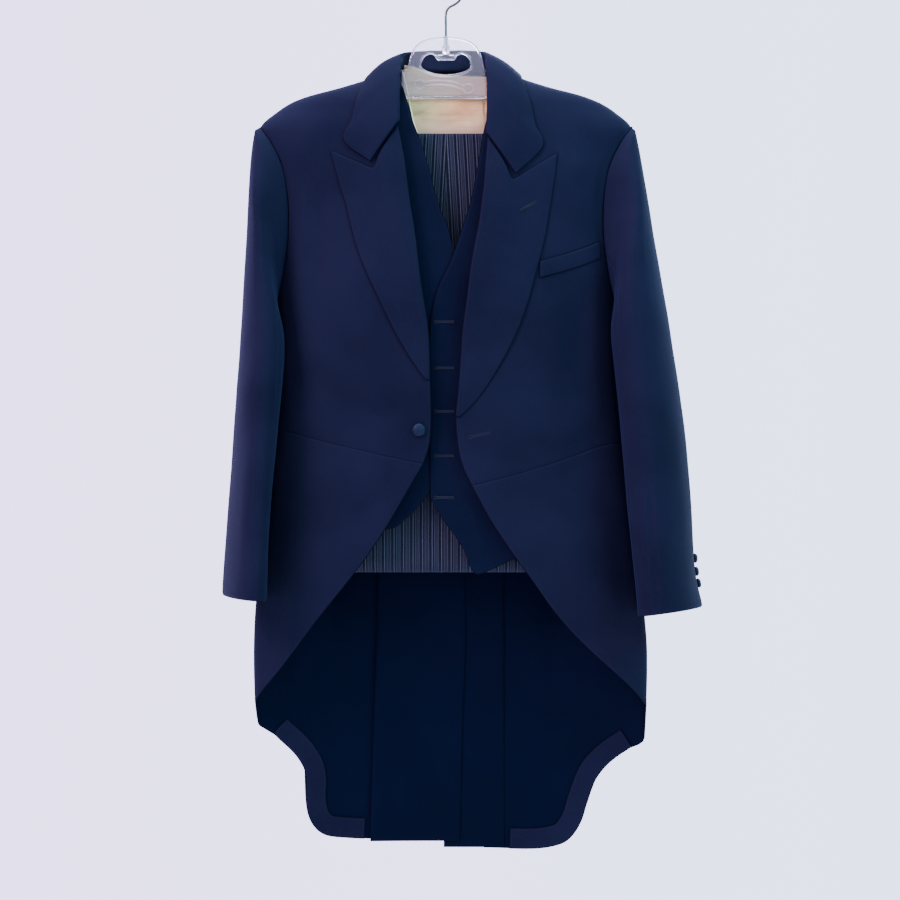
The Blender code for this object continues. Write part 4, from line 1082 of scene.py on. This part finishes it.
def waistcoat_back(side):
    """Half of the waistcoat's back, of lining cloth."""
    armhole = [(side * 180 - turn, height) for turn, height in waistcoat_armhole(side)]
    outer = join(waistcoat_shoulder(side), armhole, waistcoat_side(side))
    centre = side * 180
    yoke = (centre, -166)
    inner = join(run([(centre, -120), yoke], 6), run([yoke, (centre, WAISTCOAT_BACK_HEM)], len(outer) - 7))
    grid = fill(inner, outer, run([inner[0], outer[0]], 5), run([inner[-1], outer[-1]], 5))
    body_sheet(f"waistcoat_back_{side_name(side)}", WAISTCOAT, grid, WAISTCOAT_WALL, COAT_LINING, COAT_LINING,
               "waistcoat_lining")


waist_line = through(*zip(*WAIST_LINE))


def droop(x, height, fall):
    """A height that falls away to the sides: by how much, from where across, and over what width."""
    drop, start, width = fall
    return height - drop * ease((np.abs(x) - start) / width)


def front_top(x):
    """Height of the front waist edge, which droops to the sides."""
    return droop(x, FRONT_WAIST, FRONT_DROOP)


def back_top(x):
    """Height of the back waist edge, drawn up behind the hanger's plate."""
    return droop(x, waist_line(x), BACK_DROOP)


def back_depth(z):
    """Depth of the back panel: behind the plate above, ahead of the bar below."""
    start, height = PLATE_FOOT
    return LAYERS["back rising"] + (LAYERS["back"] - LAYERS["back rising"]) * ease((start - z) / height)


def lining_depth(z, gap):
    """Depth of the lining and its trims, which step forward below the hanger's plate."""
    start, height, step = LINING_TUCK
    return back_depth(z) - TROUSER_WALL - gap - step * ease((start - z) / height)


def trouser_points(outer, x, s):
    """A layer of the folded trousers: across in millimetres, and 0 to 2 from the waist round the fold."""
    near, far = LAYERS["front" if outer else "back"], LAYERS["front rising" if outer else "back rising"]
    radius = (far - near) / 2
    turn_z = FOLD + (LAYERS["front rising"] - LAYERS["front"]) / 2
    start = front_top(x) if outer else back_top(x)
    angle = np.pi * np.clip((s - 1) / FOLD_SHARE, 0, 1)
    risen = 1 + FOLD_SHARE
    z = np.where(s <= 1, start + (turn_z - start) * s,
                 np.where(s <= risen, turn_z - radius * np.sin(angle),
                          turn_z + (LEG_END - turn_z) * (s - risen) / (2 - risen)))
    y = np.where(s <= 1, near if outer else back_depth(z), (near + far) / 2 - radius * np.cos(angle))
    y = np.where(s > risen, far, y)
    return np.stack([x, y, z], axis=-1)


def trousers(side):
    """One leg: its front panel outside the fold and its back panel inside it."""
    upper = [0, 0.03, 0.06, 0.09, 0.12, 0.16, 0.22, 0.4, 0.7]
    down = np.array(upper + [1 + FOLD_SHARE * i / 6 for i in range(7)] + [1.5, 2.0])
    s = np.interp(marks(len(down) - 1, 6), np.arange(len(down)), down)
    x = marks(9, 6) / 9 * TROUSER_HALF * side
    across, along = np.meshgrid(x, s)
    for part in ("front", "back"):
        points = trouser_points(part == "front", across, along)
        outward = np.zeros_like(points)
        outward[:ROWS_ABOVE_FOLD, :, 1] = -1 if part == "front" else 1
        _, v = step_sizes(points)
        lean = STRIPE_LEAN * side * np.maximum(LEAN_REACH - v, 0) * (0.5 if part == "back" else 1)
        sheet(f"trouser_{part}_{side_name(side)}", points, TROUSER_WALL, STRIPED_CLOTH, STRIPED_CLOTH,
              "striped_cloth", outward, flat_uv=(across + lean, v), held="folded", folds=False)


def waist_pieces():
    """Cream waist lining and the curtain below it, inside the back of the trousers."""
    first, last = WAIST_LINE[0][0] + 4, WAIST_LINE[-1][0] - 2
    across, down = np.meshgrid(first + (last - first) * marks(8, 10) / 8, marks(7, 6) / 7)
    for node, cloth in (("trouser_waist_lining", WAIST_CLOTH), ("trouser_curtain", CREAM_CLOTH)):
        upper = node == "trouser_waist_lining"
        top = waist_line(across) - 2 if upper else WAIST_JOIN + across * 0
        z = top + ((WAIST_JOIN if upper else CURTAIN_END) - top) * down
        y = lining_depth(z, LINING_GAP)
        flat = np.stack([across, y, z], axis=-1)
        if upper:
            y = y + 0.35 * np.sin(across / 7 + 1) * np.sin(down * math.pi)
        else:
            for path, width, depth in CURTAIN_CREASES:
                y = y + depth * fold_height(flat, path, width)
            y = y + np.sin(across / 9 + z / 21) * np.sin((z + 150) / 22) * 0.4
        points = np.stack([across, y, z], axis=-1)
        sheet(node, points, LINING_WALL, cloth, CREAM_CLOTH, "waist_lining",
              np.array([0.0, -1.0, 0.0]) + points * 0, folds=False)
    waist_trims()


def tube(name, path, radius, finish, sides=10, closed=False, flat=1.0):
    """A round or flattened cord along a path of points in millimetres."""
    path = np.asarray(path, float)
    count = len(path)
    vertices = []
    for i in range(count):
        ahead = path[(i + 1) % count] if closed or i < count - 1 else path[i]
        behind = path[i - 1] if closed or i > 0 else path[i]
        forward = unit(ahead - behind)
        across = unit(np.cross(forward, np.array([0.0, 1.0, 0.0])))
        depth = np.cross(forward, across)
        for k in range(sides):
            turn = math.tau * k / sides
            ring = across * radius * math.cos(turn) + depth * radius * flat * math.sin(turn)
            vertices.append(path[i] + ring)
    item = mesh_object(name, vertices, ring_faces(count, sides, closed, capped=not closed), [finish])
    return item


def smooth_path(points, per=8, closed=False):
    """Points of a smooth curve through a few, which may close on themselves."""
    points = [tuple(p) for p in points]
    if closed:
        points = points[-2:] + points + points[:3]
    keys = [0.0]
    for a, b in zip(points, points[1:]):
        keys.append(keys[-1] + math.dist(a, b))
    low, high = (keys[2], keys[-3]) if closed else (0.0, keys[-1])
    count = per * (len(points) - 1)
    at = np.linspace(low, high, count, endpoint=not closed)
    return np.stack([catmull(keys, [p[k] for p in points])(at) for k in range(len(points[0]))], axis=-1)


def waist_trims():
    """Piped edge, sewn line and the seam of the cream waist lining."""

    def ahead(x, z):
        return (x, float(lining_depth(z, TRIM_GAP)), z)

    piping = [ahead(-52.5, -121), ahead(-46, -150), ahead(-40, -180), ahead(-35, -198)]
    tube("waist_lining_piping", smooth_path(piping), 0.9, PIPING)
    sewn = [ahead(-46, -149.2), ahead(-20, -151), ahead(10, -151.6), ahead(50, -150)]
    tube("waist_lining_sewn_line", smooth_path(sewn), 0.55, BROWN_THREAD, flat=0.5)
    seam = [ahead(44.5, -152), ahead(45.5, -170), ahead(46.5, -190)]
    tube("waist_curtain_seam", smooth_path(seam), 0.5, BROWN_THREAD, flat=0.5)


def hanger_outline():
    """Half outline of the hanger at +X, from the dome's top to the middle of the plate's foot."""
    ridge = through([row[1] for row in COAT_RINGS[:10]], [row[0] for row in COAT_RINGS[:10]])
    over = [(x, float(ridge(x)) - HANGER_DROP) for x in ARM_PLACES]
    return HANGER_DOME + over + ARM_END + HANGER_FOOT


def mirrored(half):
    return half + [(-x, z) for x, z in half[-2:0:-1]]


def hanger():
    """Clear moulded hanger: a thin web with rounded ribs along its edges and round its window."""
    outer = mirrored(hanger_outline())
    window = mirrored(WINDOW)
    lower = UNDER_ARM + [(-x, z) for x, z in UNDER_ARM[-2::-1]] + BAR_TOP
    loops = [outer, window, lower]
    caps = tessellate_polygon([[Vector((x, z, 0)) for x, z in loop] for loop in loops])
    places = [point for loop in loops for point in loop]
    count = len(places)
    vertices = [(x, y, z) for y in (-WEB_HALF, WEB_HALF) for x, z in places]
    faces = [tuple(face) for face in caps] + [tuple(i + count for i in face[::-1]) for face in caps]
    start = 0
    for loop in loops:
        for i in range(len(loop)):
            a, b = start + i, start + (i + 1) % len(loop)
            faces.append((a, b, b + count, a + count))
        start += len(loop)
    item = mesh_object("hanger_web", vertices, faces, [CLEAR_PLASTIC], smooth=35)
    shape = bmesh.new()
    shape.from_mesh(item.data)
    bmesh.ops.recalc_face_normals(shape, faces=shape.faces)
    shape.to_mesh(item.data)
    shape.free()
    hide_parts("hanger_body")
    for name, loop, inset in (("outer", outer, 1.4), ("window", window, -1.2), ("lower", lower, -1.2)):
        path = np.array([(x, 0.0, z) for x, z in loop])
        centre = path.mean(axis=0)
        path = path - unit(path - centre) * inset
        fine = resample(np.concatenate([path, path[:1]]), np.arange(0, len(path), 0.2))
        tube(f"hanger_rib_{name}", fine, RIB_RADIUS, CLEAR_PLASTIC, closed=True, flat=1.9)
    for side, (x, z) in PADS.items():
        ring = [(x + PAD_RADII[0] * math.cos(t), PAD_FRONT, z + PAD_RADII[1] * math.sin(t))
                for t in np.linspace(0, math.tau, 28, endpoint=False)]
        tube(f"hanger_pad_{side_name(side)}", ring, 1.0, CLEAR_PLASTIC, closed=True,
             flat=PAD_FLAT)
    (from_x, from_z), (to_x, to_z) = PADS[-1], PADS[1]
    for i, drop in enumerate((-2.5, 3.0)):
        bar = []
        for share in np.linspace(0.1, 0.9, 24):
            arch = 7.0 * math.sin(math.pi * share) ** 0.8
            height = from_z + (to_z - from_z) * share + arch - drop - 2
            bar.append((from_x + (to_x - from_x) * share, TRIM_FRONT, height))
        tube(f"hanger_bar_{i + 1}", bar, TRIM_RADIUS, CLEAR_PLASTIC)
    shelf = [(x, TRIM_FRONT, -100.6) for x in np.linspace(-9.5, 9.5, 12)]
    tube("hanger_shelf", shelf, TRIM_RADIUS, CLEAR_PLASTIC)


def hook():
    """Steel hook: straight neck that bends into a loop open at one side, in a moulded socket."""
    bend = HOOK_RADIUS + WIRE / 2
    centre = np.array([0, 0, -HOOK_RADIUS])
    path = list(HOOK_NECK)
    start, end = HOOK_TURN
    for i in range(19):
        turn = math.radians(start + (end - start) * i / 18)
        path.append(tuple(centre + np.array([math.cos(turn), 0, math.sin(turn)]) * bend))
    item = tube("hook_wire", smooth_path(path, per=5), WIRE / 2, HOOK_STEEL, sides=20)
    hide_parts("hanger_hook")
    sides = 32
    turns = [math.tau * i / sides for i in range(sides)]
    vertices = [(radius * math.cos(turn), radius * SOCKET_FLAT * math.sin(turn), z)
                for radius, z in SOCKET for turn in turns]
    faces = [face[::-1] for face in ring_faces(len(SOCKET), sides, capped=True)]
    socket = mesh_object("hook_socket", vertices, faces, [MILKY_PLASTIC], smooth=40)


class Finish:
    """A Principled material with short ways to build its nodes."""

    def __init__(self, name, roughness=0.5, **sockets):
        self.material = bpy.data.materials.new(name)
        self.material.use_nodes = True
        self.nodes = self.material.node_tree.nodes
        self.links = self.material.node_tree.links
        self.shader = self.nodes["Principled BSDF"]
        self.shader.inputs["Roughness"].default_value = roughness
        for socket, value in sockets.items():
            self.shader.inputs[socket.replace("_", " ")].default_value = value
        self.place = self.nodes.new("ShaderNodeTexCoord")

    def feed(self, node, **inputs):
        """Set sockets by name: a number or colour as it is, an output as a link."""
        for key, value in inputs.items():
            socket = node.inputs[int(key[1:])] if key[0] == "i" and key[1:].isdigit() else node.inputs[key]
            if isinstance(value, bpy.types.NodeSocket):
                self.links.new(value, socket)
            else:
                socket.default_value = value
        return node

    def along(self, coordinates, axis):
        """One of the three coordinates."""
        node = self.nodes.new("ShaderNodeSeparateXYZ")
        self.feed(node, Vector=self.place.outputs[coordinates])
        return node.outputs[axis]

    def math(self, operation, first, second=0.0):
        node = self.nodes.new("ShaderNodeMath")
        node.operation = operation
        self.feed(node, i0=first, i1=second)
        return node.outputs[0]

    def noise(self, scale, detail=3.0, coordinates="Object", stretch=None, distortion=0.0):
        node = self.nodes.new("ShaderNodeTexNoise")
        place = self.place.outputs[coordinates]
        if stretch:
            mapping = self.nodes.new("ShaderNodeMapping")
            self.feed(mapping, Vector=place, Scale=stretch)
            place = mapping.outputs[0]
        self.feed(node, Vector=place, Scale=scale, Detail=detail, Distortion=distortion)
        return node.outputs["Fac"]

    def bands(self, scale, direction="DIAGONAL", distortion=0.0):
        node = self.nodes.new("ShaderNodeTexWave")
        node.bands_direction = direction
        self.feed(node, Vector=self.place.outputs["UV"], Scale=scale, Distortion=distortion)
        return node.outputs["Fac"]

    def ramp(self, value, stops):
        node = self.nodes.new("ShaderNodeValToRGB")
        ramp = node.color_ramp
        while len(ramp.elements) < len(stops):
            ramp.elements.new(0.5)
        for element, (position, colour) in zip(ramp.elements, stops):
            element.position = position
            element.color = colour
        self.feed(node, Fac=value)
        return node.outputs["Color"]

    def mix(self, share, first, second):
        node = self.nodes.new("ShaderNodeMix")
        node.data_type = "RGBA"
        self.feed(node, i0=share, i6=first, i7=second)
        return node.outputs[2]

    def dye(self, tone, share, strength, colour):
        """A tone drawn towards a colour where a share says, by a strength at most."""
        return self.mix(self.math("MULTIPLY", share, strength), tone, colour)

    def span(self, value, low, high, new_low=0.0, new_high=1.0):
        node = self.nodes.new("ShaderNodeMapRange")
        self.feed(node, i0=value, i1=low, i2=high, i3=new_low, i4=new_high)
        return node.outputs[0]

    def edge(self, reach):
        """1 at a piece's border, fading to 0 at a reach in millimetres."""
        node = self.nodes.new("ShaderNodeAttribute")
        node.attribute_name = "edge"
        return self.span(node.outputs["Fac"], 0.0, reach, 1.0, 0.0)

    def colour(self, value):
        self.feed(self.shader, **{"Base Color": value})

    def rough(self, value):
        self.feed(self.shader, Roughness=value)

    def bump(self, *heights):
        """Bumps from (height, strength, distance in millimetres), one over another."""
        normal = None
        for height, strength, distance in heights:
            node = self.nodes.new("ShaderNodeBump")
            self.feed(node, Height=height, Strength=strength, Distance=distance * MM)
            if normal:
                self.feed(node, Normal=normal)
            normal = node.outputs[0]
        self.feed(self.shader, Normal=normal)


def shade(red, green, blue):
    return (red, green, blue, 1.0)


def wool(name, deep, light, edge_light, sheen):
    """Close dark worsted: a fine twill with soft fibre and broad changes of tone, lighter at its borders from
    wear and a painted highlight, with painted shade at every seam and edge.
    """
    finish = Finish(name, 0.86, Sheen_Weight=sheen, Sheen_Roughness=0.45, Sheen_Tint=shade(0.22, 0.34, 0.80),
                    Specular_IOR_Level=0.04, Specular_Tint=shade(0.3, 0.45, 1.0))
    broad = finish.noise(9.0, 4.0)
    fibre = finish.noise(620.0, 3.0, stretch=(1.0, 1.0, 0.35))
    fleck = finish.noise(1500.0, 2.0)
    twill = finish.bands(340.0, distortion=0.6)
    tone = finish.mix(finish.span(broad, 0.35, 0.68), deep, light)
    tone = finish.dye(tone, finish.span(fibre, 0.45, 0.75), 0.14, edge_light)
    tone = finish.dye(tone, finish.span(fleck, 0.5, 0.8), 0.22, edge_light)
    # lighter over the last 2.6 mm of each border: partly wear, partly a painted highlight on the rounded edge
    tone = finish.dye(tone, finish.edge(2.6), 0.16, edge_light)
    # painted shade: drawn towards black over the last 0.7 mm of every seam and edge, where thin shadows fall
    tone = finish.dye(tone, finish.edge(0.7), 0.85, shade(0.0, 0.0, 0.0))
    tone = finish.dye(tone, twill, 0.25, deep)
    finish.colour(tone)
    finish.rough(finish.span(fibre, 0.3, 0.7, 0.78, 0.92))
    finish.bump((twill, 0.3, 0.12), (fibre, 0.2, 0.12), (fleck, 0.15, 0.08), (broad, 0.25, 1.5))
    return finish.material


def satin(name, deep, light, roughness=0.72):
    """Dark lining with a soft gloss and a fine rib."""
    finish = Finish(name, roughness, Specular_IOR_Level=0.04, Specular_Tint=shade(0.3, 0.45, 1.0))
    broad = finish.noise(16.0, 3.0, distortion=0.4)
    rib = finish.bands(420.0, "X")
    finish.colour(finish.mix(finish.span(broad, 0.3, 0.7), deep, light))
    finish.rough(finish.span(broad, 0.3, 0.7, roughness - 0.06, roughness + 0.1))
    finish.bump((rib, 0.15, 0.08), (broad, 0.4, 2.0))
    return finish.material


def striped():
    """Striped trouser cloth: grey bands with fine dark lines, and a narrow bright line between them."""
    finish = Finish("striped cloth", 0.84, Sheen_Weight=0.05, Sheen_Roughness=0.5,
                    Sheen_Tint=shade(0.4, 0.5, 0.85), Specular_IOR_Level=0.04)
    waver = finish.math("MULTIPLY", finish.math("SUBTRACT", finish.noise(38.0, 2.0, "UV"), 0.5), 0.0006)
    across = finish.math("ADD", finish.along("UV", 0), waver)
    repeats = finish.math("MULTIPLY", across, 1 / (STRIPE_REPEAT * MM))
    phase = finish.math("FRACT", finish.math("ADD", repeats, 20.5))
    dark, mid = shade(0.0006, 0.0010, 0.0028), shade(0.0100, 0.0118, 0.0178)
    pale, bright = shade(0.0150, 0.0175, 0.0250), shade(0.0235, 0.0272, 0.0365)
    tones = {"dark": dark, "mid": mid, "pale": pale, "bright": bright}
    tone = finish.ramp(phase, [(place, tones[name]) for place, name in STRIPES])
    fibre = finish.noise(700.0, 3.0)
    pick = finish.bands(520.0, "Y", distortion=1.0)
    broad = finish.noise(11.0, 3.0)
    tone = finish.dye(tone, finish.span(fibre, 0.4, 0.7), 0.35, shade(0.005, 0.006, 0.010))
    tone = finish.dye(tone, finish.span(broad, 0.35, 0.65), 0.3, shade(0.004, 0.005, 0.009))
    finish.colour(tone)
    finish.bump((pick, 0.35, 0.2), (fibre, 0.3, 0.2), (broad, 0.3, 1.5))
    return finish.material


def lining_cloth(name, pale, warm, brown, low, high):
    """Cream lining: a plain weave, with painted shade that darkens it to brown towards its lower edge."""
    finish = Finish(name, 0.62, Sheen_Weight=0.2, Sheen_Roughness=0.4, Specular_IOR_Level=0.35)
    warp, weft = [finish.bands(260.0, direction, distortion=0.3) for direction in ("X", "Y")]
    weave = finish.math("MULTIPLY", warp, weft)
    slub = finish.noise(160.0, 3.0, stretch=(0.15, 1.0, 1.0))
    broad = finish.noise(30.0, 3.0)
    tone = finish.mix(finish.span(broad, 0.35, 0.7), pale, warm)
    tone = finish.dye(tone, finish.span(slub, 0.5, 0.75), 0.4, brown)
    # painted shade: the colour darkens to brown from the high height down to the low one
    shadow = finish.span(finish.along("Object", 2), high * MM, low * MM, 0.0, 0.85)
    finish.colour(finish.mix(shadow, tone, brown))
    finish.bump((weave, 0.4, 0.18), (slub, 0.3, 0.2), (broad, 0.3, 1.0))
    return finish.material


def thread(name, deep, light):
    """Twisted thread with a dull gloss."""
    finish = Finish(name, 0.6, Sheen_Weight=0.02, Specular_IOR_Level=0.08)
    strand = finish.noise(900.0, 2.0, stretch=(1.0, 1.0, 0.4))
    finish.colour(finish.mix(strand, deep, light))
    finish.bump((strand, 0.6, 0.3))
    return finish.material


def button_cloth():
    """Closely woven silk over a button, pulled towards its rim."""
    finish = Finish("button cloth", 0.5, Sheen_Weight=0.05, Sheen_Tint=shade(0.4, 0.5, 0.8),
                    Specular_IOR_Level=0.12, Specular_Tint=shade(0.4, 0.55, 1.0))
    weave = finish.noise(900.0, 2.0)
    broad = finish.noise(120.0, 3.0)
    deep, light = shade(0.0006, 0.0014, 0.0030), shade(0.0016, 0.0034, 0.0062)
    finish.colour(finish.mix(finish.span(broad, 0.35, 0.7), deep, light))
    finish.rough(finish.span(weave, 0.3, 0.7, 0.42, 0.6))
    finish.bump((weave, 0.4, 0.25), (broad, 0.3, 0.5))
    return finish.material


def plastic(name, tint, transmission, roughness):
    """Moulded plastic with faint flow marks and scuffs."""
    finish = Finish(name, roughness, Transmission_Weight=transmission, IOR=1.46, Specular_IOR_Level=0.5)
    flow = finish.noise(26.0, 3.0, distortion=0.8)
    scuff = finish.noise(240.0, 4.0)
    finish.colour(finish.mix(finish.span(flow, 0.3, 0.7), tint, shade(1.0, 1.0, 1.0)))
    finish.rough(finish.span(scuff, 0.45, 0.8, roughness, roughness + 0.12))
    finish.bump((flow, 0.25, 0.6), (scuff, 0.08, 0.2))
    return finish.material


def steel():
    """Plated steel wire with fine drawing marks."""
    finish = Finish("hook steel", 0.3, Metallic=1.0)
    drawn = finish.noise(260.0, 3.0, stretch=(1.0, 1.0, 0.12))
    spots = finish.noise(90.0, 4.0)
    pale, dull = shade(0.050, 0.050, 0.050), shade(0.020, 0.020, 0.021)
    finish.colour(finish.mix(finish.span(spots, 0.4, 0.75), pale, dull))
    finish.rough(finish.span(drawn, 0.3, 0.7, 0.18, 0.36))
    finish.bump((drawn, 0.2, 0.15))
    return finish.material


def floor_finish():
    """Pale floor that glows softly, so it matches the backdrop from above."""
    finish = Finish("pale floor", 0.9, Base_Color=shade(0.70, 0.70, 0.78),
                    Emission_Color=shade(0.84, 0.84, 1.0), Emission_Strength=1.0)
    return finish.material


def camera():
    """Level camera in front of the suit's middle; it looks along +Y."""
    lens = bpy.data.cameras.new("camera")
    lens.lens = LENS
    lens.sensor_width = SENSOR
    item = bpy.data.objects.new("camera", lens)
    item.location = CAMERA_PLACE
    item.rotation_euler = (math.radians(90), 0, 0)
    bpy.context.collection.objects.link(item)
    bpy.context.scene.camera = item


def soft_light(name, place, target, size, power_watts, colour):
    lamp = bpy.data.lights.new(name, "AREA")
    lamp.shape = "DISK"
    lamp.size = size
    lamp.energy = power_watts
    lamp.color = colour
    item = bpy.data.objects.new(name, lamp)
    item.location = place
    item.rotation_euler = (Vector(target) - Vector(place)).to_track_quat("-Z", "Y").to_euler()
    bpy.context.collection.objects.link(item)


def studio():
    world = bpy.data.worlds.new("backdrop")
    world.use_nodes = True
    nodes, links = world.node_tree.nodes, world.node_tree.links
    sky = nodes["Background"]
    place = nodes.new("ShaderNodeTexCoord")
    split = nodes.new("ShaderNodeSeparateXYZ")
    spread = nodes.new("ShaderNodeMapRange")
    blend = nodes.new("ShaderNodeMix")
    blend.data_type = "RGBA"
    links.new(place.outputs["Generated"], split.inputs[0])
    links.new(split.outputs[0], spread.inputs[0])
    spread.inputs[1].default_value, spread.inputs[2].default_value = BACKDROP_SPREAD
    links.new(spread.outputs[0], blend.inputs[0])
    blend.inputs[6].default_value, blend.inputs[7].default_value = BACKDROP
    links.new(blend.outputs[2], sky.inputs["Color"])
    sky.inputs["Strength"].default_value = BACKDROP_STRENGTH
    bpy.context.scene.world = world
    for light in LIGHTS:
        soft_light(*light)
    bpy.ops.mesh.primitive_circle_add(vertices=96, radius=FLOOR_RADIUS, fill_type="NGON",
                                      location=(0, 0, FLOOR_HEIGHT))
    floor = bpy.context.object
    floor.name = "floor"
    floor.data.materials.append(floor_finish())


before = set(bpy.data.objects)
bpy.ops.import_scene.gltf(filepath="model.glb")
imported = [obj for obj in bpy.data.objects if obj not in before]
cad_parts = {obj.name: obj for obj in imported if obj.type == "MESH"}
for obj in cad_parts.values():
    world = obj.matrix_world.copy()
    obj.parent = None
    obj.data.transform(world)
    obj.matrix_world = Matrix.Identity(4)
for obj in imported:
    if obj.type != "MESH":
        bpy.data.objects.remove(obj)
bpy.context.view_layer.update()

COAT_CLOTH = wool("coat cloth", shade(0.0017, 0.0019, 0.0052), shade(0.0031, 0.0034, 0.0084),
                  shade(0.0085, 0.0095, 0.0195), 0.02)
WAISTCOAT_CLOTH = wool("waistcoat cloth", shade(0.0008, 0.0011, 0.0038), shade(0.0014, 0.0020, 0.0060),
                       shade(0.0045, 0.0060, 0.0140), 0.015)
COAT_LINING = satin("dark lining", shade(0.0003, 0.0006, 0.0026), shade(0.0006, 0.0011, 0.0042))
STRIPED_CLOTH = striped()
# the last two numbers of each cream cloth are the low and high heights of its painted shade
CREAM_CLOTH = lining_cloth("cream lining", shade(0.37, 0.255, 0.090), shade(0.27, 0.155, 0.044),
                           shade(0.050, 0.020, 0.006), -200, -162)
WAIST_CLOTH = lining_cloth("waist lining", shade(0.39, 0.29, 0.145), shade(0.29, 0.205, 0.10),
                           shade(0.080, 0.048, 0.022), -260, -150)
PIPING = thread("piping", shade(0.40, 0.31, 0.17), shade(0.56, 0.46, 0.28))
BROWN_THREAD = thread("brown thread", shade(0.12, 0.07, 0.035), shade(0.22, 0.14, 0.08))
THREAD = thread("buttonhole thread", shade(0.0006, 0.0011, 0.0032), shade(0.0024, 0.0038, 0.0080))
BUTTON_CLOTH = button_cloth()
CLEAR_PLASTIC = plastic("clear plastic", shade(0.86, 0.87, 0.90), 1.0, 0.05)
MILKY_PLASTIC = plastic("milky plastic", shade(0.80, 0.81, 0.83), 0.85, 0.16)
HOOK_STEEL = steel()

camera()
studio()
sleeves = {}
for side in (-1, 1):
    forepart(side)
    sidebody(side)
    back(side)
    skirt(side)
    tail_facing(side)
    lapel(side)
    sleeves[side] = sleeve(side)
collar()
welt()
coat_buttons(sleeves)
coat_holes()
for side in (-1, 1):
    waistcoat_front(side)
    waistcoat_back(side)
    trousers(side)
waist_pieces()
hanger()
hook()
